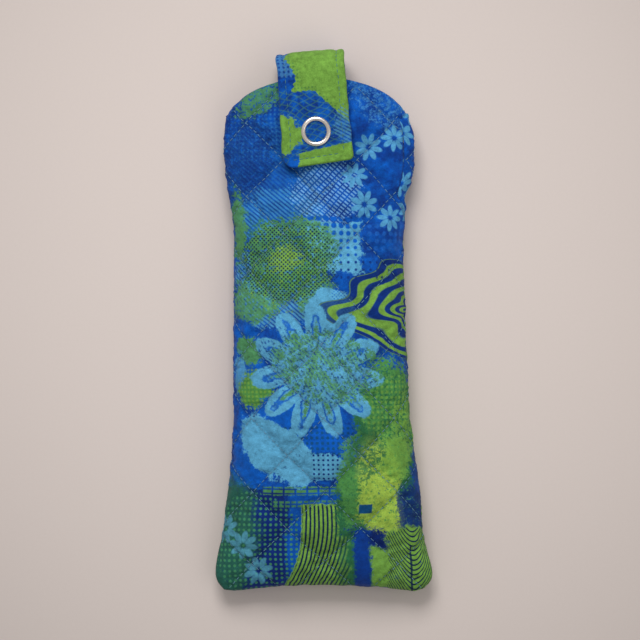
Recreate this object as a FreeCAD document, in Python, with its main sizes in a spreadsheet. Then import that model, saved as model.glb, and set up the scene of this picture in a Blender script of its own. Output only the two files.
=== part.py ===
import FreeCAD, Part
import math
import os
import Sketcher

# Soft pouch case for spectacles: a quilted cotton pouch with an arched open mouth and a cloth tab
# that is sewn to the back, comes over the mouth and snaps on the front.
# X is across the pouch, Y runs from the sewn bottom to the mouth, Z is up through the front panel.
# The pouch rests on its back at Z 0. All sizes are millimetres.

V = FreeCAD.Vector
FAR = "dims.far"

# alias, value, what it is
SIZES = [
    ("far", 130, "reach of a cut that has to pass right through"),
    ("seam_z", 9, "height of the side seam above the table"),
    ("seam_gap", 0.2, "half the slit left at the seam for its thread"),
    ("joint_gap", 0.05, "half the slit where a panel is divided at a fold"),
    ("outer_cloth", 0.6, "thickness of the printed cloth with its fused backing"),
    ("batting", 2.0, "thickness of the wadding"),
    ("lining", 0.5, "thickness of the lining cloth"),
    ("gap", 0.05, "clearance between two layers"),
    ("thread", 0.25, "thickness of a sewing thread laid on cloth"),
    ("thread_gap", 0.02, "clearance under a surface thread"),
    ("thread_width", 0.45, "width of a sewing thread laid on cloth"),
    ("quilt_pitch", 19.4, "distance between quilting lines"),
    ("quilt_x", 0.46, "where two quilting lines cross, X"),
    ("quilt_y", 79.25, "where two quilting lines cross, Y"),
    ("mouth_y", 77.75, "centre of the mouth arch"),
    ("mouth_w", 34.5, "half width of the mouth arch"),
    ("mouth_rise", 17.5, "rise of the mouth arch over its centre"),
    ("batting_short", 1.0, "wadding stops short of the mouth edge"),
    ("pinch", 16, "slope of the mouth notch at each side seam, degrees"),
    ("snap_x", -1.1, "snap centre, X"),
    ("snap_y", 75.85, "snap centre, Y"),
    ("seat_z", 17.45, "height the cloth is pressed to under the stud"),
    ("seat_r", 5.6, "radius of that pressed seat"),
    ("prong_circle", 4.7, "radius of the circle of prongs"),
    ("prong_r", 0.35, "radius of a prong"),
    ("prong_hole_r", 0.45, "radius of the hole a prong makes"),
    ("tab_lean", 4.8, "turn of the tab about the snap, degrees"),
    ("tab_width", 25.4, "width of the tab"),
    ("tab_thick", 1.8, "thickness of the tab"),
    ("tab_cloth", 0.5, "thickness of the tab cloth"),
    ("tab_side", 0.8, "turned edge of the tab cloth"),
    ("tab_end", 1.8, "turned end of the tab cloth"),
    ("tab_corner", 3.5, "corner radius of the tab"),
    ("tab_tip", -11.6, "free end of the tab, from the snap"),
    ("tab_root", -12.6, "sewn end of the tab, from the snap"),
    ("low_z", 1.25, "middle of the tab where it lies under the back"),
    ("high_z", 21.3, "middle of the tab where it lies over the front"),
    ("bend_y", 20.6, "start of the tab's bends, from the snap"),
    ("bend_r", 8.5, "bend radius of the tab at mid thickness"),
    ("split", 45, "half of a bend, degrees"),
    ("split_gap", 0.3, "half the slit in a bend, degrees"),
    ("stitch_in", 2.8, "edge stitching, from the tab's edge"),
    ("box_low", -10, "sewn square on the back, lower end"),
    ("box_high", 3.5, "sewn square on the back, upper end"),
    ("seam_in", 1.3, "side seam thread, from the pouch's edge"),
    ("ring_r", 5.53, "outer radius of a prong ring"),
    ("ring_hole", 3.95, "inner radius of a prong ring"),
    ("ring_edge", 0.35, "straight edge of a prong ring"),
    ("ring_crown", 0.95, "radius of a prong ring's rounded face"),
    ("cap_z", 22.22, "ring on the tab, face against the cloth"),
    ("cap_prong", 2.45, "prong length of the ring on the tab"),
    ("back_ring_z", 14.2, "ring inside the pouch, face against the lining"),
    ("back_prong", 3.5, "prong length of the ring inside the pouch"),
    ("flange_r", 5.4, "stud flange radius"),
    ("flange_z", 17.47, "stud flange, lower face"),
    ("flange_top", 18.0, "stud flange, upper face"),
    ("neck_r", 1.7, "stud neck radius"),
    ("knob_r", 2.0, "stud knob radius"),
    ("knob_z", 18.9, "stud knob, widest height"),
    ("knob_top", 19.9, "stud knob, top"),
    ("channel_in", 4.25, "inner radius of the channel the prongs curl in"),
    ("channel_out", 5.15, "outer radius of that channel"),
    ("flange_channel", 17.8, "stud channel, roof"),
    ("socket_r", 5.5, "socket radius"),
    ("socket_z", 18.06, "socket, lower face"),
    ("socket_top", 20.35, "socket, upper face"),
    ("socket_roof", 20.05, "socket, roof of the bore"),
    ("socket_channel", 19.6, "socket channel, floor"),
    ("bore_r", 2.6, "socket bore radius"),
    ("groove_r", 3.3, "socket spring groove radius"),
    ("groove_low", 18.7, "spring groove, lower face"),
    ("groove_high", 19.4, "spring groove, upper face"),
    ("spring_r", 2.75, "spring ring radius"),
    ("wire_r", 0.28, "spring wire radius"),
]

# name, Y, half width, rise of the front over the seam, drop of the back under the seam
STATIONS = [
    ("bottom", -95.25, 33.0, 4.0, 3.8),
    ("corner", -94.05, 36.6, 4.4, 4.1),
    ("turn", -91.75, 39.0, 5.0, 4.6),
    ("heel", -87.25, 40.3, 6.4, 5.6),
    ("flare", -77.25, 37.7, 9.4, 7.4),
    ("lower", -61.25, 36.0, 13.2, 8.9),
    ("belly", -35.25, 33.5, 16.4, 9.3),
    ("middle", 2.75, 32.1, 17.0, 9.3),
    ("upper", 30.25, 31.7, 14.9, 9.3),
    ("waist", 46.75, 32.8, 11.4, 8.0),
    ("shoulder", 61.75, 35.0, 8.6, 6.4),
    ("notch", 81.05, 34.3, 8.6, 6.3),
    ("brim", 98.0, 34.3, 8.3, 6.1),
]
ROUNDED = ("bottom", "corner", "turn", "heel")
POUCH = [station[0] for station in STATIONS[:-1]]
LIP = [station[0] for station in STATIONS[-2:]]

CLOTH_IN = "dims.outer_cloth"
BATTING_OUT = f"{CLOTH_IN} + dims.gap"
BATTING_IN = f"{BATTING_OUT} + dims.batting"
LINING_OUT = f"{BATTING_IN} + dims.gap"
LINING_IN = f"{LINING_OUT} + dims.lining"
THREAD_IN = "-dims.thread_gap"
THREAD_OUT = "-dims.thread_gap - dims.thread"
CORE_INSET = "(dims.tab_cloth + dims.gap)"
QUILT_LINES = range(-8, 3)
PRONGS = 5
SPRING_TURN = 325

doc = FreeCAD.newDocument("pouch_case")
sheet = doc.addObject("Spreadsheet::Sheet", "dims")


# ---- dimension sheet -------------------------------------------------------------------------

def fill_sheet():
    rows = list(SIZES)
    for name, y, width, rise, drop in STATIONS:
        rows.append((f"{name}_y", y, f"{name} section, Y"))
        rows.append((f"{name}_w", width, f"{name} section, half width"))
        rows.append((f"{name}_rise", rise, f"{name} section, front rise"))
        rows.append((f"{name}_drop", drop, f"{name} section, back drop"))
    for number, (alias, size, note) in enumerate(rows, start=1):
        sheet.set(f"A{number}", note)
        sheet.set(f"B{number}", str(size))
        sheet.setAlias(f"B{number}", alias)
    doc.recompute()


def value(expression):
    return float(sheet.evalExpression(expression))


# ---- sketch helpers --------------------------------------------------------------------------

def new_body(label):
    body = doc.addObject("PartDesign::Body", label)
    body.Label = label
    return body


def sketch_on(body, role, name, offset="0"):
    plane = [feature for feature in body.Origin.OriginFeatures if feature.Role == role][0]
    sketch = body.newObject("Sketcher::SketchObject", name)
    sketch.AttachmentSupport = [(plane, "")]
    sketch.MapMode = "FlatFace"
    sketch.setExpression("AttachmentOffset.Base.z", offset)
    return sketch


def bind(sketch, constraint, expression):
    number = sketch.addConstraint(constraint)
    sketch.setExpression(f"Constraints[{number}]", expression)


def fix_point(sketch, edge, end, x, y):
    bind(sketch, Sketcher.Constraint("DistanceX", -1, 1, edge, end, value(x)), x)
    bind(sketch, Sketcher.Constraint("DistanceY", -1, 1, edge, end, value(y)), y)


def draw_circle(sketch, x, y, radius):
    circle = Part.Circle(V(value(x), value(y), 0), V(0, 0, 1), value(radius))
    edge = sketch.addGeometry(circle)
    fix_point(sketch, edge, 3, x, y)
    bind(sketch, Sketcher.Constraint("Radius", edge, value(radius)), radius)


def draw_ellipse(sketch, y, half_width, half_height):
    wide = value(half_width)
    high = value(half_height)
    edge = sketch.addGeometry(Part.Ellipse(V(0, value(y), 0), wide, high))
    sketch.exposeInternalGeometry(edge)
    fix_point(sketch, edge, 3, "0", y)
    sketch.addConstraint(Sketcher.Constraint("Horizontal", edge + 1))
    bind(sketch, Sketcher.Constraint("Distance", edge + 1, 2 * wide), f"2 * ({half_width})")
    bind(sketch, Sketcher.Constraint("Distance", edge + 2, 2 * high), f"2 * ({half_height})")


def draw_arc(sketch, start, end, centre, radius):
    # Arcs run anticlockwise in a sketch; the two ends are swapped where the outline runs the other way.
    first = math.atan2(start[1] - centre[1], start[0] - centre[0])
    last = math.atan2(end[1] - centre[1], end[0] - centre[0])
    forward = (last - first) % (2 * math.pi) < math.pi
    circle = Part.Circle(V(centre[0], centre[1], 0), V(0, 0, 1), value(radius))
    if not forward:
        first, last = last, first
    edge = sketch.addGeometry(Part.ArcOfCircle(circle, first, last))
    bind(sketch, Sketcher.Constraint("Radius", edge, value(radius)), radius)
    return edge, (1, 2) if forward else (2, 1)


def draw_outline(sketch, corners, arcs=None):
    # Closed outline through the corners; arcs maps a corner's number to (radius, centre x, centre y)
    # for the curved edge that leaves it.
    arcs = arcs or {}
    points = [(value(x), value(y)) for x, y in corners]
    edges = []
    for number, start in enumerate(points):
        end = points[(number + 1) % len(points)]
        if number in arcs:
            radius, centre_x, centre_y = arcs[number]
            edges.append(draw_arc(sketch, start, end, (value(centre_x), value(centre_y)), radius))
        else:
            edge = sketch.addGeometry(Part.LineSegment(V(start[0], start[1], 0), V(end[0], end[1], 0)))
            edges.append((edge, (1, 2)))
    for number, (edge, ends) in enumerate(edges):
        following, following_ends = edges[(number + 1) % len(edges)]
        sketch.addConstraint(Sketcher.Constraint("Coincident", edge, ends[1], following, following_ends[0]))
    for (edge, ends), (x, y) in zip(edges, corners):
        fix_point(sketch, edge, ends[0], x, y)


def draw_box(sketch, left, right, low, high):
    draw_outline(sketch, [(left, low), (right, low), (right, high), (left, high)])


# ---- feature helpers -------------------------------------------------------------------------

def pad(body, sketch, name, length, symmetric=False, reverse=False):
    feature = body.newObject("PartDesign::Pad", name)
    feature.Profile = sketch
    feature.Midplane = symmetric
    feature.Reversed = reverse
    feature.setExpression("Length", length)
    return feature


def pocket(body, sketch, name, length=FAR, symmetric=False, reverse=False):
    feature = body.newObject("PartDesign::Pocket", name)
    feature.Profile = sketch
    feature.Midplane = symmetric
    feature.Reversed = reverse
    feature.setExpression("Length", length)
    return feature


def revolve(body, sketch, name, angle=360):
    feature = body.newObject("PartDesign::Revolution", name)
    feature.Profile = sketch
    feature.ReferenceAxis = (sketch, ["V_Axis"])
    feature.Angle = angle
    return feature


def lean_with_tab(body):
    # The tab and everything on it is drawn about the snap and turned a little about it.
    body.Placement = FreeCAD.Placement(V(0, 0, 0), FreeCAD.Rotation(V(0, 0, 1), 1))
    body.setExpression("Placement.Base.x", "dims.snap_x")
    body.setExpression("Placement.Base.y", "dims.snap_y")
    body.setExpression("Placement.Rotation.Angle", "dims.tab_lean")


def place_at_snap(body):
    body.setExpression("Placement.Base.x", "dims.snap_x")
    body.setExpression("Placement.Base.y", "dims.snap_y")


def prong_circles(sketch, x, y, radius):
    # One prong points away from the mouth, which keeps every hole clear of the panel's cut end.
    for number in range(PRONGS):
        turn = f"{270 + number * 360 / PRONGS} deg"
        draw_circle(sketch, f"{x} + dims.prong_circle * cos({turn})",
                    f"{y} + dims.prong_circle * sin({turn})", radius)


def pierce(body, x, y):
    sketch = sketch_on(body, "XY_Plane", f"{body.Name}_prong_holes")
    prong_circles(sketch, x, y, "dims.prong_hole_r")
    pocket(body, sketch, f"{body.Name}_pierced", reverse=True)


# ---- quilted panels --------------------------------------------------------------------------

def section(body, side, station, inset, tag):
    # The sections round the sewn bottom move up with the inset, so every layer closes at the bottom.
    shift = inset if station in ROUNDED else "0"
    depth = "rise" if side == "front" else "drop"
    sketch = sketch_on(body, "XZ_Plane", f"{body.Name}_{tag}_{station}", f"-(dims.{station}_y + {shift})")
    half_width = f"dims.{station}_w - ({inset})"
    draw_ellipse(sketch, "dims.seam_z", half_width, f"dims.{station}_{depth} - ({inset})")
    return sketch


def hull(body, kind, side, stations, inset, tag):
    sketches = [section(body, side, station, inset, tag) for station in stations]
    feature = body.newObject(f"PartDesign::{kind}", f"{body.Name}_{tag}")
    feature.Profile = sketches[0]
    feature.Sections = sketches[1:]
    feature.Ruled = True
    return feature


def cut_at_seam(body, side):
    sketch = sketch_on(body, "XZ_Plane", f"{body.Name}_half")
    if side == "front":
        draw_box(sketch, f"-{FAR}", FAR, f"-{FAR}", "dims.seam_z + dims.seam_gap")
    else:
        draw_box(sketch, f"-{FAR}", FAR, "dims.seam_z - dims.seam_gap", FAR)
    pocket(body, sketch, f"{body.Name}_halved", f"2 * {FAR}", symmetric=True)


def cut_at_table(body):
    sketch = sketch_on(body, "XZ_Plane", f"{body.Name}_table")
    draw_box(sketch, f"-{FAR}", FAR, f"-{FAR}", "0")
    pocket(body, sketch, f"{body.Name}_flat", f"2 * {FAR}", symmetric=True)


def cut_at_notch(body, keep):
    # The pouch panels end at the notch in the side seam; the lip panels begin there.
    sketch = sketch_on(body, "YZ_Plane", f"{body.Name}_end")
    if keep == "pouch":
        draw_box(sketch, "dims.notch_y - dims.joint_gap", FAR, f"-{FAR}", FAR)
    else:
        draw_box(sketch, f"-{FAR}", "dims.notch_y + dims.joint_gap", f"-{FAR}", FAR)
    pocket(body, sketch, f"{body.Name}_ended", f"2 * {FAR}", symmetric=True)


def cut_notch_slope(body, side):
    # Beyond the seam's end the two lips part in a V, so they can be pinched together.
    start = "dims.notch_y - dims.joint_gap"
    end = f"{start} + {FAR}"
    climb = f"{FAR} * tan(dims.pinch * 1 deg)"
    if side == "front":
        slope, away = f"dims.seam_z + {climb}", f"-{FAR}"
    else:
        slope, away = f"dims.seam_z - {climb}", FAR
    sketch = sketch_on(body, "YZ_Plane", f"{body.Name}_slope")
    draw_outline(sketch, [(start, "dims.seam_z"), (end, slope), (end, away), (start, away)])
    pocket(body, sketch, f"{body.Name}_sloped", f"2 * {FAR}", symmetric=True)


def cut_mouth_arch(body, short):
    sketch = sketch_on(body, "XY_Plane", f"{body.Name}_mouth")
    draw_box(sketch, "-dims.far", "dims.far", "0", FAR)
    draw_ellipse(sketch, "dims.mouth_y", f"dims.mouth_w - {short}", f"dims.mouth_rise - {short}")
    pocket(body, sketch, f"{body.Name}_arched", f"2 * {FAR}", symmetric=True)


def quilt_layer(label, side, outside, inside):
    body = new_body(label)
    hull(body, "AdditiveLoft", side, POUCH, outside, "skin")
    hull(body, "SubtractiveLoft", side, POUCH, inside, "hollow")
    cut_at_seam(body, side)
    cut_at_notch(body, "pouch")
    return body


def lip_layer(label, side, outside, inside, short="0"):
    body = new_body(label)
    hull(body, "AdditiveLoft", side, LIP, outside, "skin")
    hull(body, "SubtractiveLoft", side, LIP, inside, "hollow")
    cut_notch_slope(body, side)
    cut_at_notch(body, "lip")
    cut_mouth_arch(body, short)
    return body


def press_stud_seat(body):
    sketch = sketch_on(body, "XY_Plane", f"{body.Name}_seat", "dims.seat_z")
    draw_circle(sketch, "dims.snap_x", "dims.snap_y", "dims.seat_r")
    pocket(body, sketch, f"{body.Name}_seated", reverse=True)


def make_pouch_panels():
    panels = []
    for side in ("front", "back"):
        panels.append(quilt_layer(f"{side}_outer_panel", side, "0", CLOTH_IN))
        panels.append(quilt_layer(f"{side}_batting", side, BATTING_OUT, BATTING_IN))
        panels.append(quilt_layer(f"{side}_lining", side, LINING_OUT, LINING_IN))
    # The front panel's three layers carry the stud.
    for panel in panels[:3]:
        pierce(panel, "dims.snap_x", "dims.snap_y")
    press_stud_seat(panels[0])
    cut_at_table(panels[3])
    return panels


def make_lip_panels():
    lips = []
    for side in ("front", "back"):
        lips.append(lip_layer(f"{side}_lip_outer_cloth", side, "0", CLOTH_IN))
        lips.append(lip_layer(f"{side}_lip_batting", side, BATTING_OUT, BATTING_IN, "dims.batting_short"))
        lips.append(lip_layer(f"{side}_lip_lining", side, LINING_OUT, LINING_IN))
    # The rim of the stud reaches just past the notch.
    press_stud_seat(lips[0])
    return lips


# ---- sewing threads of the pouch -------------------------------------------------------------

def quilting_slab(number, turn):
    # One tall thin wall standing on a quilting line.
    slab = doc.addObject("Part::Box", f"quilting_wall_{number}_{'up' if turn > 0 else 'down'}")
    slab.setExpression("Length", f"4 * {FAR}")
    slab.setExpression("Width", "dims.thread_width")
    slab.setExpression("Height", f"2 * {FAR}")
    slab.Placement = FreeCAD.Placement(V(0, 0, 0), FreeCAD.Rotation(V(0, 0, 1), turn))
    along = f"2 * {FAR}"
    across = f"({number} * dims.quilt_pitch - dims.thread_width / 2)"
    cosine, sine = f"cos({turn} deg)", f"sin({turn} deg)"
    slab.setExpression("Placement.Base.x", f"dims.quilt_x - {along} * {cosine} - {across} * {sine}")
    slab.setExpression("Placement.Base.y", f"dims.quilt_y - {along} * {sine} + {across} * {cosine}")
    slab.setExpression("Placement.Base.z", f"-{FAR}")
    return slab


def quilting_lattice():
    slabs = [quilting_slab(number, turn) for turn in (45, -45) for number in QUILT_LINES]
    lattice = doc.addObject("Part::MultiFuse", "quilting_lattice")
    lattice.Shapes = slabs
    return lattice


def combine(kind, label, base, tool):
    result = doc.addObject(f"Part::{kind}", label)
    result.Label = label
    result.Base = base
    result.Tool = tool
    return result


def block_round_stud():
    block = doc.addObject("Part::Cylinder", "thread_free_circle")
    block.setExpression("Radius", "dims.seat_r")
    block.setExpression("Height", FAR)
    block.setExpression("Placement.Base.x", "dims.snap_x")
    block.setExpression("Placement.Base.y", "dims.snap_y")
    return block


def make_quilting_threads():
    lattice = quilting_lattice()
    threads = []
    for side in ("front", "back"):
        panel_sheet = quilt_layer(f"{side}_thread_sheet", side, THREAD_OUT, THREAD_IN)
        lip_sheet = lip_layer(f"{side}_lip_thread_sheet", side, THREAD_OUT, THREAD_IN, "dims.batting_short")
        if side == "back":
            cut_at_table(panel_sheet)
        for part, sheet_body in (("", panel_sheet), ("lip_", lip_sheet)):
            label = f"{side}_{part}quilting_thread"
            if side == "front":
                net = combine("Common", f"front_{part}thread_net", sheet_body, lattice)
                threads.append(combine("Cut", label, net, block_round_stud()))
            else:
                threads.append(combine("Common", label, sheet_body, lattice))
    return threads


def make_seam_thread():
    body = new_body("side_and_bottom_seam_thread")
    sketch = sketch_on(body, "XY_Plane", "seam_path", "dims.seam_z")
    near = "dims.seam_in"
    far = "(dims.seam_in + dims.thread_width)"
    outer = []
    inner = []
    for station in POUCH[::-1]:
        for path, inset in ((outer, near), (inner, far)):
            shift = inset if station in ROUNDED else "0"
            path.append((f"dims.{station}_w - {inset}", f"dims.{station}_y + {shift}"))
    mirrored = [[(f"-({x})", y) for x, y in path] for path in (outer, inner)]
    draw_outline(sketch, outer + mirrored[0][::-1] + mirrored[1] + inner[::-1])
    pad(body, sketch, "seam_line", "dims.thread", symmetric=True)
    return body


# ---- tab -------------------------------------------------------------------------------------

def bend_point(level, radius, turn):
    # A point of a bend, turned from straight down; level "low" is the bend under the back.
    centre_z = "(dims.low_z + dims.bend_r)" if level == "low" else "(dims.high_z - dims.bend_r)"
    return f"dims.bend_y + {radius} * sin({turn})", f"{centre_z} - {radius} * cos({turn})"


def bend_arc(level, radius):
    centre_y, centre_z = bend_point(level, "0", "0 deg")
    return radius, centre_y, centre_z


def split_turn(level, side, slit):
    # Turn of the slit face in a bend; side -1 is the face nearer the free or sewn end's run.
    middle = "dims.split" if level == "low" else "(180 - dims.split)"
    sign = "+" if side > 0 else "-"
    return f"({middle} {sign} {slit}) * 1 deg"


def tab_outline(sketch, piece, outer_in, inner_in, end_in, slit):
    # Side view of one piece of the tab; outer_in and inner_in are insets from the tab's two faces.
    outside = f"(dims.bend_r + dims.tab_thick / 2 - {outer_in})"
    inside = f"(dims.bend_r - dims.tab_thick / 2 + {inner_in})"
    if piece == "anchor":
        turn = split_turn("low", -1, slit)
        corners = [(f"dims.tab_root + {end_in}", bend_point("low", outside, "0 deg")[1]),
                   bend_point("low", outside, "0 deg"), bend_point("low", outside, turn),
                   bend_point("low", inside, turn), bend_point("low", inside, "0 deg"),
                   (f"dims.tab_root + {end_in}", bend_point("low", inside, "0 deg")[1])]
        arcs = {1: bend_arc("low", outside), 3: bend_arc("low", inside)}
    elif piece == "fold":
        start = split_turn("low", 1, slit)
        end = split_turn("high", -1, slit)
        corners = [bend_point("low", outside, start), bend_point("low", outside, "90 deg"),
                   bend_point("high", outside, "90 deg"), bend_point("high", outside, end),
                   bend_point("high", inside, end), bend_point("high", inside, "90 deg"),
                   bend_point("low", inside, "90 deg"), bend_point("low", inside, start)]
        arcs = {0: bend_arc("low", outside), 2: bend_arc("high", outside),
                4: bend_arc("high", inside), 6: bend_arc("low", inside)}
    else:
        turn = split_turn("high", 1, slit)
        corners = [bend_point("high", outside, turn), bend_point("high", outside, "180 deg"),
                   (f"dims.tab_tip + {end_in}", bend_point("high", outside, "180 deg")[1]),
                   (f"dims.tab_tip + {end_in}", bend_point("high", inside, "180 deg")[1]),
                   bend_point("high", inside, "180 deg"), bend_point("high", inside, turn)]
        arcs = {0: bend_arc("high", outside), 4: bend_arc("high", inside)}
    draw_outline(sketch, corners, arcs)


def round_tab_end(body, feature):
    # The two upright edges at the free or sewn end.
    end = min(vertex.Y for vertex in feature.Shape.Vertexes)
    names = []
    for number, edge in enumerate(feature.Shape.Edges, start=1):
        ends = [vertex.Point for vertex in edge.Vertexes]
        if len(ends) == 2 and all(abs(point.y - end) < 0.01 for point in ends):
            if abs(ends[0].x - ends[1].x) < 0.01:
                names.append(f"Edge{number}")
    fillet = body.newObject("PartDesign::Fillet", f"{body.Name}_corners")
    fillet.Base = (feature, names)
    fillet.setExpression("Radius", "dims.tab_corner")


def make_tab_cloth(piece):
    body = new_body(f"tab_{piece}_cloth")
    outline = sketch_on(body, "YZ_Plane", f"{body.Name}_side_view")
    tab_outline(outline, piece, "0", "0", "0", "dims.split_gap")
    block = pad(body, outline, f"{body.Name}_block", "dims.tab_width", symmetric=True)
    if piece != "fold":
        doc.recompute()
        round_tab_end(body, block)
    hollow = sketch_on(body, "YZ_Plane", f"{body.Name}_hollow_view")
    tab_outline(hollow, piece, "dims.tab_cloth", "dims.tab_cloth", "dims.tab_end", "0")
    pocket(body, hollow, f"{body.Name}_hollow", "dims.tab_width - 2 * dims.tab_side", symmetric=True)
    return body


def make_tab_core(piece):
    body = new_body(f"tab_{piece}_interfacing")
    outline = sketch_on(body, "YZ_Plane", f"{body.Name}_side_view")
    tab_outline(outline, piece, CORE_INSET, CORE_INSET, "(dims.tab_end + dims.gap)", "dims.split_gap")
    width = "dims.tab_width - 2 * (dims.tab_side + dims.gap)"
    pad(body, outline, f"{body.Name}_strip", width, symmetric=True)
    return body


def make_fold_stitching():
    # Two rows, one near each edge of the tab, on its outer face round the fold.
    body = new_body("tab_fold_stitching")
    row_x = "dims.tab_width / 2 - dims.stitch_in - dims.thread_width"
    sketch = sketch_on(body, "YZ_Plane", "fold_row_view", row_x)
    inner_in = "(dims.tab_thick + dims.thread_gap)"
    tab_outline(sketch, "fold", "(-dims.thread_gap - dims.thread)", inner_in, "0", "dims.split_gap")
    row = pad(body, sketch, "fold_row", "dims.thread_width")
    mirror = body.newObject("PartDesign::Mirrored", "fold_row_pair")
    mirror.Originals = [row]
    mirror.MirrorPlane = ([f for f in body.Origin.OriginFeatures if f.Role == "YZ_Plane"][0], [""])
    body.Tip = mirror
    return body


def make_edge_stitching():
    # Three sides of a rectangle, open at the fold.
    body = new_body("tab_edge_stitching")
    face = "dims.high_z + dims.tab_thick / 2 + dims.thread_gap"
    sketch = sketch_on(body, "XY_Plane", "edge_row_path", face)
    wide = "(dims.tab_width / 2 - dims.stitch_in)"
    narrow = f"({wide} - dims.thread_width)"
    low = "dims.tab_tip + dims.stitch_in"
    step = f"{low} + dims.thread_width"
    top = "dims.bend_y"
    draw_outline(sketch, [(f"-{wide}", low), (wide, low), (wide, top), (narrow, top), (narrow, step),
                          (f"-{narrow}", step), (f"-{narrow}", top), (f"-{wide}", top)])
    pad(body, sketch, "edge_row", "dims.thread")
    return body


def make_anchor_stitching():
    # A sewn square holding the tab to the back panel, seen on the tab's outer face.
    body = new_body("tab_anchor_stitching")
    face = "dims.low_z - dims.tab_thick / 2 - dims.thread_gap"
    sketch = sketch_on(body, "XY_Plane", "anchor_path", face)
    wide = "(dims.tab_width / 2 - dims.stitch_in)"
    narrow = f"({wide} - dims.thread_width)"
    low, high = "dims.box_low", "dims.box_high"
    draw_box(sketch, f"-{wide}", wide, low, high)
    draw_box(sketch, f"-{narrow}", narrow, f"{low} + dims.thread_width", f"{high} - dims.thread_width")
    pad(body, sketch, "anchor_square", "dims.thread", reverse=True)
    return body


def make_tab():
    pieces = []
    for piece in ("anchor", "fold", "front"):
        pieces.append(make_tab_cloth(piece))
        pieces.append(make_tab_core(piece))
    # The front piece's cloth and interfacing carry the socket.
    for body in pieces[-2:]:
        pierce(body, "0", "0")
    pieces += [make_anchor_stitching(), make_fold_stitching(), make_edge_stitching()]
    for body in pieces:
        lean_with_tab(body)
    return pieces


# ---- snap ------------------------------------------------------------------------------------

def prong_ring(label, face_z, prong_length, up):
    # An open ring with a rounded face; the prongs stand on its flat face. up is the side it faces.
    body = new_body(label)
    sketch = sketch_on(body, "XZ_Plane", f"{label}_profile")
    sign = "+" if up else "-"
    edge_z = f"{face_z} {sign} dims.ring_edge"
    middle = "((dims.ring_r + dims.ring_hole) / 2)"
    half = "((dims.ring_r - dims.ring_hole) / 2)"
    dip = f"sqrt(dims.ring_crown * dims.ring_crown - {half} * {half})"
    centre_z = f"{edge_z} - {dip}" if up else f"{edge_z} + {dip}"
    corners = [("dims.ring_hole", face_z), ("dims.ring_r", face_z), ("dims.ring_r", edge_z),
               ("dims.ring_hole", edge_z)]
    draw_outline(sketch, corners, {2: ("dims.ring_crown", middle, centre_z)})
    revolve(body, sketch, f"{label}_ring")
    prongs = sketch_on(body, "XY_Plane", f"{label}_prong_circle", face_z)
    prong_circles(prongs, "0", "0", "dims.prong_r")
    pad(body, prongs, f"{label}_prongs", prong_length, reverse=up)
    return body


def turned_part(label, corners):
    body = new_body(label)
    sketch = sketch_on(body, "XZ_Plane", f"{label}_profile")
    draw_outline(sketch, corners)
    revolve(body, sketch, f"{label}_turned")
    return body


def make_stud():
    knob_under = "dims.knob_z - (dims.knob_r - dims.neck_r)"
    return turned_part("snap_stud", [
        ("0", "dims.flange_z"), ("dims.channel_in", "dims.flange_z"),
        ("dims.channel_in", "dims.flange_channel"), ("dims.channel_out", "dims.flange_channel"),
        ("dims.channel_out", "dims.flange_z"),
        ("dims.flange_r", "dims.flange_z"), ("dims.flange_r", "dims.flange_top"),
        ("dims.neck_r", "dims.flange_top"), ("dims.neck_r", knob_under), ("dims.knob_r", "dims.knob_z"),
        ("dims.knob_r", "(dims.knob_z + dims.knob_top) / 2"), ("dims.neck_r", "dims.knob_top"),
        ("0", "dims.knob_top")])


def make_socket():
    return turned_part("snap_socket", [
        ("0", "dims.socket_roof"), ("dims.bore_r", "dims.socket_roof"), ("dims.bore_r", "dims.groove_high"),
        ("dims.groove_r", "dims.groove_high"), ("dims.groove_r", "dims.groove_low"),
        ("dims.bore_r", "dims.groove_low"), ("dims.bore_r", "dims.socket_z"),
        ("dims.socket_r", "dims.socket_z"),
        ("dims.socket_r", "dims.socket_top"), ("dims.channel_out", "dims.socket_top"),
        ("dims.channel_out", "dims.socket_channel"), ("dims.channel_in", "dims.socket_channel"),
        ("dims.channel_in", "dims.socket_top"), ("0", "dims.socket_top")])


def make_socket_spring():
    body = new_body("socket_spring")
    sketch = sketch_on(body, "XZ_Plane", "spring_wire")
    draw_circle(sketch, "dims.spring_r", "(dims.groove_low + dims.groove_high) / 2", "dims.wire_r")
    revolve(body, sketch, "spring_ring", SPRING_TURN)
    return body


def make_snap():
    on_tab = [prong_ring("snap_ring_cap", "dims.cap_z", "dims.cap_prong", up=True),
              make_socket(), make_socket_spring()]
    on_pouch = [prong_ring("stud_prong_ring", "dims.back_ring_z", "dims.back_prong", up=False), make_stud()]
    for body in on_tab:
        lean_with_tab(body)
    for body in on_pouch:
        place_at_snap(body)
    return on_tab + on_pouch


# ---- write the parts -------------------------------------------------------------------------

def check(pieces):
    faults = [item.Name for item in doc.Objects if "Invalid" in item.State or "Error" in item.State]
    for piece in pieces:
        if piece.Shape.isNull() or not piece.Shape.isValid() or not piece.Shape.Solids:
            faults.append(piece.Label)
    if faults:
        raise RuntimeError(f"these objects did not build: {faults}")


def export(pieces):
    os.makedirs("parts", exist_ok=True)
    for piece in pieces:
        piece.Shape.exportStep(f"parts/{piece.Label}.step")


def build():
    fill_sheet()
    pieces = make_pouch_panels() + make_lip_panels() + make_quilting_threads()
    pieces += [make_seam_thread()] + make_tab() + make_snap()
    doc.recompute()
    check(pieces)
    export(pieces)
    for piece in pieces:
        box = piece.Shape.optimalBoundingBox(False)
        print(f"{piece.Label:32s} solids {len(piece.Shape.Solids):2d}  volume {piece.Shape.Volume:9.1f}"
              f"  X {box.XMin:6.1f} {box.XMax:6.1f}  Y {box.YMin:6.1f} {box.YMax:6.1f}"
              f"  Z {box.ZMin:5.2f} {box.ZMax:5.2f}")


build()
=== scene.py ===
import math

import bpy
import numpy as np
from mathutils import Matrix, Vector, noise
from mathutils.geometry import delaunay_2d_cdt
from mathutils.kdtree import KDTree


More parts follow.
